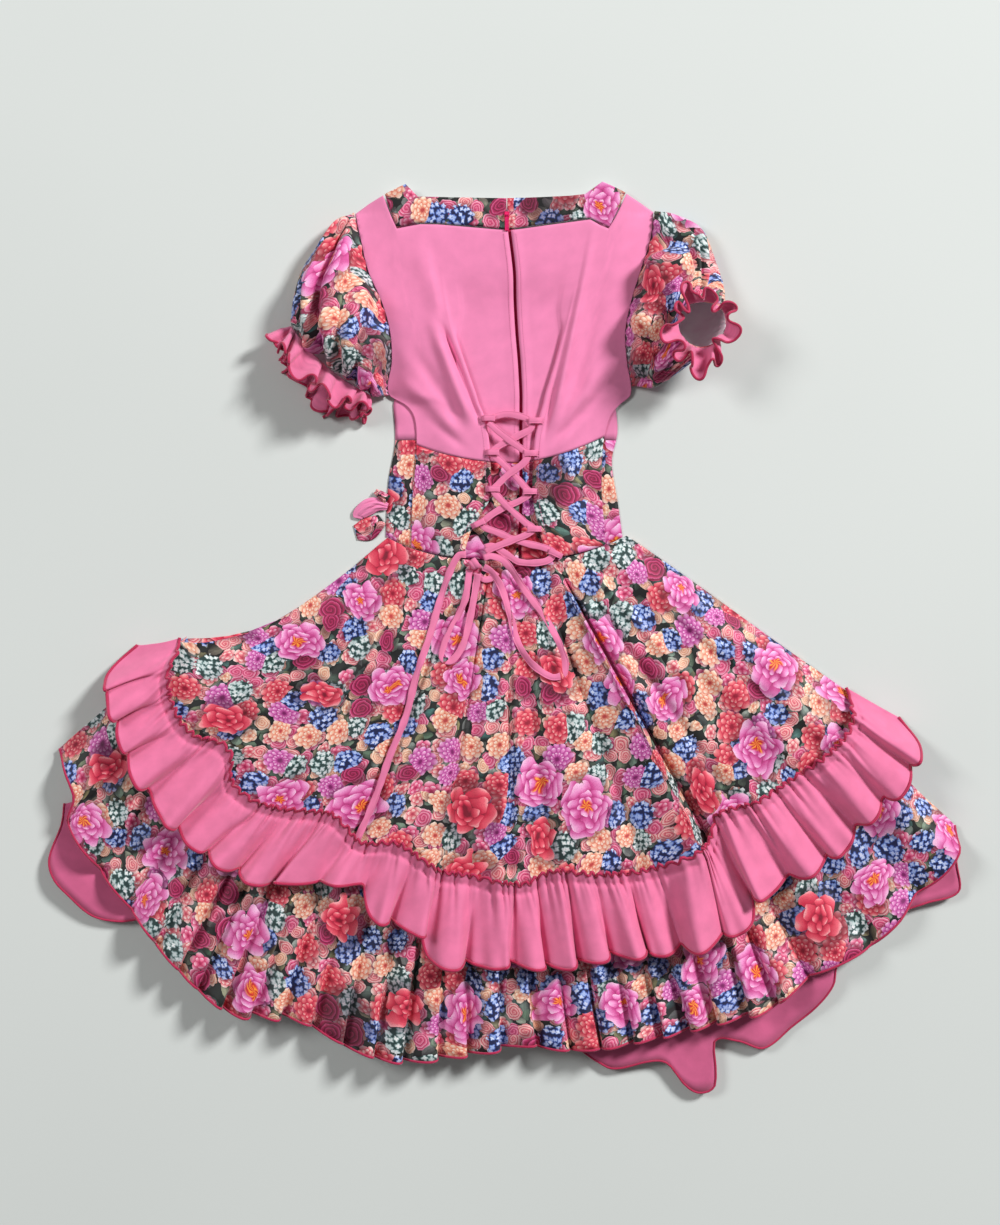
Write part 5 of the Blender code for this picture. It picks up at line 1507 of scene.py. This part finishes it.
def smooth_route(route, spacing):
    """Evenly spaced points on a smooth curve through a route's own points."""
    points = [Vector(point) for point in route]
    lengths = [0.0]
    for a, b in zip(points, points[1:]):
        lengths.append(lengths[-1] + (b - a).length)
    table = [(length, *point) for length, point in zip(lengths, points)]
    return [Vector([look_up(table, lengths[-1] * share, column) for column in (1, 2, 3)])
            for share in shares(max(2, round(lengths[-1] / spacing)))]


def ribbon(name, node, route, width=LACE_WIDTH, wall=LACE_WALL, spacing=2.5, roll=0.0):
    """A flat lace folded and sewn along one edge: thicker in the middle, with rolled edges."""
    points = smooth_route(route, spacing)
    rings = []
    for k, point in enumerate(points):
        ahead = (points[min(k + 1, len(points) - 1)] - points[max(k - 1, 0)]).normalized()
        level = Vector((ahead.y, -ahead.x, 0)).normalized()
        rise = level.cross(ahead)
        lean = roll * math.sin(k * 0.21 + 0.7) * math.sin(k * 0.083)
        turned = level * math.cos(lean) + rise * math.sin(lean)
        rise = rise * math.cos(lean) - level * math.sin(lean)
        narrow = 0.81 + 0.07 * roll - 0.05 * math.sin(k * 0.33) - 0.04 * math.sin(k * 0.83)
        rings.append([tuple(point + turned * (a * width * narrow) + rise * (b * wall))
                      for a, b in LACE_SECTION])
    return on_dress(solid_tube(name, rings, "lace_crepe"), "lace_crepe", node), points


def make_lace(name, node, route, roll=0.0):
    piece, points = ribbon(name, node, route, roll=roll)


def make_lacing():
    """The lace's stretches, the knot that they meet in and its two free ends."""
    knot = make_knot()
    short_end, _ = ribbon("lace_end_short", "lace_tail_short", TAIL_SHORT)
    make_lace("lace_crossing_first", "lace_run_first", LACE_FIRST)
    make_lace("lace_crossing_second", "lace_run_second", LACE_SECOND)
    make_lace("lace_loop_right", "lace_bow_right", BOW_LOOP_RIGHT, roll=0.5)
    make_lace("lace_loop_left", "lace_bow_left", BOW_LOOP_LEFT, roll=0.5)
    make_lace("lace_end_long", "lace_tail_long", TAIL_LONG, roll=0.6)


def make_knot():
    """The wrap of lace round the middle of the bow, over the turn that it is drawn through."""
    along = Vector((math.cos(KNOT_TURN), math.sin(KNOT_TURN), 0))
    across = Vector((-math.sin(KNOT_TURN), math.cos(KNOT_TURN), 0))
    rings = []
    for share in shares(64):
        turn = math.tau * 1.6 * share + 0.4
        away = across * math.cos(turn) * KNOT_HALF_WIDE + Vector((0, 0, math.sin(turn) * KNOT_HALF_HIGH))
        middle = Vector(KNOT_CENTRE) + along * lerp(-2.6, 2.6, share) + away * (0.88 + 0.12 * share)
        out = away.normalized()
        rings.append([tuple(middle + along * (a * 7.0) + out * (b * 1.3)) for a, b in KNOT_SECTION])
    return on_dress(solid_tube("lace_wrap", rings, "lace_crepe"), "lace_crepe", "lace_knot")


def make_lacing_loops():
    """Sewn strips: one end is down on the flap's edge, and the rest lies over the lace."""
    for loop in LOOPS:
        turn = math.radians(loop.turn)
        along = Vector((math.cos(turn), math.sin(turn), 0))
        route = [Vector((loop.x, loop.y, height)) + along * place * LOOP_LONG / 2
                 for place, height in LOOP_PROFILE]
        ribbon(loop.name + "_cloth", loop.name, route, LOOP_WIDE, LOOP_WALL, spacing=1.5)


def bow_arch(share, along):
    """Share of a bow strip's rise across its width: arched, with two creases."""
    creases = 0.28 * math.cos(share * 19 + along * 0.2) + 0.16 * math.cos(share * 37 - along * 0.5)
    return math.sin(math.pi * share) ** 0.7 * (0.72 + creases)


def make_side_bow():
    for strip in BOW_STRIPS:
        table = [(n, *point) for n, point in enumerate(strip.route)]
        last = len(strip.route) - 1
        middle = [Vector((look_up(table, last * share, 1), look_up(table, last * share, 2), strip.height))
                  for share in shares(BOW_ROWS)]
        rows = []
        for k, (point, share) in enumerate(zip(middle, shares(BOW_ROWS))):
            ahead = middle[min(k + 1, BOW_ROWS)] - middle[max(k - 1, 0)]
            level = Vector((ahead.y, -ahead.x, 0)).normalized() * look_up(table, last * share, 3)
            rise = 5.0 * math.sin(math.pi * min(share + 0.12, 1))
            rows.append([tuple(point + level * (2 * across - 1) + Vector((0, 0, rise * bow_arch(across, k))))
                         for across in shares(18)])
        sheet(strip.node, rows, strip.finish, held="folded")


def make_zip():
    """The tape under the centre back, which shows as the line that the two halves leave."""
    rows = []
    for share in shares(56):
        y = lerp(SHOULDER_Y - 8, 100, share)
        zip_x, height = look_up(BODICE, y, ZIP), panel_height(y) - ZIP_TAPE_DROP
        rows.append([(zip_x + ZIP_TAPE_WIDE * (across - 0.5), y, height) for across in shares(6)])
    sheet("zip_tape", rows, "tape_crepe")
    for name in ("zip_slider", "zip_pull_tab"):
        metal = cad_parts[name]
        metal.data.materials.clear()
        metal.data.materials.append(finish_of("enamel"))


def flap_stitch(side, y):
    """Place of a topstitch beside the lacing flap's edge."""
    edge, fold = look_up(BODICE, y, SIDE_COLUMN[side]), look_up(BODICE, y, FOLD_COLUMN[side])
    x = fold + side * 5.0
    return x, y, back_point(side, (x - edge) / (fold - edge), None, y)[2] + 0.5


def zip_stitch(side, y):
    """Place of a topstitch beside the zip."""
    return look_up(BODICE, y, ZIP) + side * 7.5, y, panel_height(y) + 0.45 + ZIP_RIDGE


def stitch_places():
    """Place of each topstitch, and how far its line runs sideways for each step up."""
    lines = [(300.0, 104, side, FOLD_COLUMN[side], flap_stitch) for side in (-1, 1)]
    lines += [(484.0, 216, side, ZIP, zip_stitch) for side in (-1, 1)]
    places = []
    for y, bottom, side, column, place_of in lines:
        while y > bottom:
            slope = (look_up(BODICE, y + 1, column) - look_up(BODICE, y - 1, column)) / 2
            places.append((place_of(side, y), slope))
            y -= look().stitch_pitch / MM
    return places


def make_stitches():
    """Topstitching by the flaps' edges and down both sides of the zip, as one piece of thread."""
    section = [(0.3 * math.cos(math.tau * n / 5), 0.3 * math.sin(math.tau * n / 5)) for n in range(5)]
    verts, faces = [], []
    for (x, y, z), slope in stitch_places():
        start = len(verts)
        along = Vector((slope, 1, 0)).normalized()
        level = Vector((along.y, -along.x, 0))
        for share, thick in STITCH_RINGS:
            middle = Vector((x - CENTRE_X, y - CENTRE_Y, z)) + along * (share * STITCH_HALF)
            verts += [(middle + level * (a * thick) + Vector((0, 0, b * thick))) * MM for a, b in section]
        for ring in range(3):
            for n in range(5):
                a, b = start + ring * 5 + n, start + ring * 5 + (n + 1) % 5
                faces.append((a, b, b + 5, a + 5))
        faces.append(tuple(start + n for n in range(4, -1, -1)))
        faces.append(tuple(start + 15 + n for n in range(5)))
    mesh = bpy.data.meshes.new("topstitching")
    mesh.from_pydata([tuple(v) for v in verts], [], faces)
    mesh.shade_smooth()
    on_dress(add_piece("topstitching", mesh, "sewing_thread"), "sewing_thread")


def make_stage():
    """A pale floor, soft light mostly from the upper right, and the camera straight above."""
    paint = Paint("floor", 0.9, specular=0.2)
    uneven = paint.noise(paint.on_object(), 1.3, 2.0).band(0.3, 0.7)
    pale = look().floor
    material = paint.finish(paint.blend(uneven, times(pale, 1.02), times(pale, 0.98)))
    bpy.ops.mesh.primitive_plane_add(size=8, location=(0, 0, -0.0003))
    floor = bpy.context.object
    floor.name = "floor"
    floor.data.materials.append(material)

    aim = Vector(((PICTURE_WIDE / 2 - TABLE_PIXEL_X) * PIXEL - CENTRE_X,
                  (TABLE_PIXEL_Y - PICTURE_HIGH / 2) * PIXEL - CENTRE_Y, 0)) * MM
    camera = bpy.data.cameras.new("camera")
    camera.sensor_fit = "VERTICAL"
    camera.sensor_height = 24.0
    camera.lens = camera.sensor_height * (look().camera_height - CLOTH_PLANE) / (PICTURE_HIGH * PIXEL * MM)
    seen = bpy.data.objects.new("camera", camera)
    seen.location = (aim.x, aim.y, look().camera_height)
    bpy.context.collection.objects.link(seen)
    bpy.context.scene.camera = seen

    for lamp in LAMPS:
        light = bpy.data.lights.new(lamp.name, "AREA")
        light.shape = "DISK"
        light.size = lamp.size
        light.energy = look().key_light * lamp.share
        placed = bpy.data.objects.new(lamp.name, light)
        placed.location = lamp.place
        placed.rotation_euler = (-Vector(lamp.place)).to_track_quat("-Z", "Y").to_euler()
        bpy.context.collection.objects.link(placed)
    world = bpy.data.worlds.new("studio")
    world.use_nodes = True
    world.node_tree.nodes["Background"].inputs["Color"].default_value = (1.0, 1.0, 1.0, 1)
    world.node_tree.nodes["Background"].inputs["Strength"].default_value = WORLD_LIGHT
    bpy.context.scene.world = world
    bpy.context.scene.view_settings.view_transform = "Standard"


class DRESS_OT_stage(bpy.types.Operator):
    """Add the floor, the lights and the camera"""
    bl_idname = "dress.stage"
    bl_label = "Stage"

    def execute(self, context):
        make_stage()
        return {"FINISHED"}


class DRESS_OT_lacing(bpy.types.Operator):
    """Add the lace, its bow and ends, and the loops that it runs through"""
    bl_idname = "dress.lacing"
    bl_label = "Lacing"

    def execute(self, context):
        make_lacing()
        make_lacing_loops()
        return {"FINISHED"}


class DRESS_OT_bodice_back(bpy.types.Operator):
    """Add the two back halves of the bodice and of the midriff, with their lacing flaps"""
    bl_idname = "dress.bodice_back"
    bl_label = "Back bodice"

    def execute(self, context):
        make_back_half(-1, "left")
        make_back_half(1, "right")
        return {"FINISHED"}


class DRESS_OT_bodice_front(bpy.types.Operator):
    """Add the front bodice and midriff, which lie under the back"""
    bl_idname = "dress.bodice_front"
    bl_label = "Front bodice"

    def execute(self, context):
        make_front_bodice()
        return {"FINISHED"}


class DRESS_OT_neck_band(bpy.types.Operator):
    """Add the two halves of the floral neck band"""
    bl_idname = "dress.neck_band"
    bl_label = "Neck band"

    def execute(self, context):
        make_neck_band("neck_band_left", BAND_LEFT, -1)
        make_neck_band("neck_band_right", BAND_RIGHT, 1)
        return {"FINISHED"}


class DRESS_OT_sleeves(bpy.types.Operator):
    """Add the puffed sleeves and the frills round their cuffs"""
    bl_idname = "dress.sleeves"
    bl_label = "Sleeves"

    def execute(self, context):
        make_sleeve("sleeve_left", SLEEVE_LEFT, -1, SLEEVE_CREASES_LEFT)
        make_sleeve("sleeve_right", SLEEVE_RIGHT, 1, SLEEVE_CREASES_RIGHT)
        make_cuff_ruffle("cuff_ruffle_left", SLEEVE_LEFT[-1], CUFF_LEFT, -1)
        make_cuff_ruffle("cuff_ruffle_right", SLEEVE_RIGHT[-1], CUFF_RIGHT, 1)
        return {"FINISHED"}


class DRESS_OT_skirt(bpy.types.Operator):
    """Add the floral skirt's back, its ruffle and its flounce"""
    bl_idname = "dress.skirt"
    bl_label = "Skirt"

    def execute(self, context):
        make_skirt_back()
        make_flounce_back()
        make_ruffle_back()
        return {"FINISHED"}


class DRESS_OT_under_layers(bpy.types.Operator):
    """Add the skirt's front layers and the underskirt"""
    bl_idname = "dress.under_layers"
    bl_label = "Layers below"

    def execute(self, context):
        make_front_layers()
        make_under_layers()
        return {"FINISHED"}


class DRESS_OT_side_bow(bpy.types.Operator):
    """Add the part of the waist bow that shows past the left side"""
    bl_idname = "dress.side_bow"
    bl_label = "Side bow"

    def execute(self, context):
        make_side_bow()
        return {"FINISHED"}


class DRESS_OT_zip(bpy.types.Operator):
    """Add the zip's tape and the topstitching, and finish its metal"""
    bl_idname = "dress.zip"
    bl_label = "Zip and stitching"

    def execute(self, context):
        make_zip()
        make_stitches()
        return {"FINISHED"}


PIECES = (DRESS_OT_stage, DRESS_OT_lacing, DRESS_OT_bodice_back, DRESS_OT_bodice_front, DRESS_OT_neck_band,
          DRESS_OT_sleeves, DRESS_OT_skirt, DRESS_OT_under_layers, DRESS_OT_side_bow, DRESS_OT_zip)


class DRESS_PT_panel(bpy.types.Panel):
    """Lists the dress's settings and pieces"""
    bl_idname = "DRESS_PT_panel"
    bl_label = "Cueca dress"
    bl_space_type = "VIEW_3D"
    bl_region_type = "UI"
    bl_category = "Dress"

    def draw(self, context):
        for name in DressLook.__annotations__:
            self.layout.prop(context.scene.dress_look, name)
        for piece in PIECES:
            self.layout.operator(piece.bl_idname)


def register():
    bpy.utils.register_class(DressLook)
    bpy.types.Scene.dress_look = bpy.props.PointerProperty(type=DressLook)
    for piece in PIECES:
        bpy.utils.register_class(piece)
    bpy.utils.register_class(DRESS_PT_panel)


def unregister():
    bpy.utils.unregister_class(DRESS_PT_panel)
    for piece in reversed(PIECES):
        bpy.utils.unregister_class(piece)
    del bpy.types.Scene.dress_look
    bpy.utils.unregister_class(DressLook)


def main():
    register()
    for piece in PIECES:
        group, action = piece.bl_idname.split(".")
        getattr(getattr(bpy.ops, group), action)()


if __name__ == "__main__":
    main()
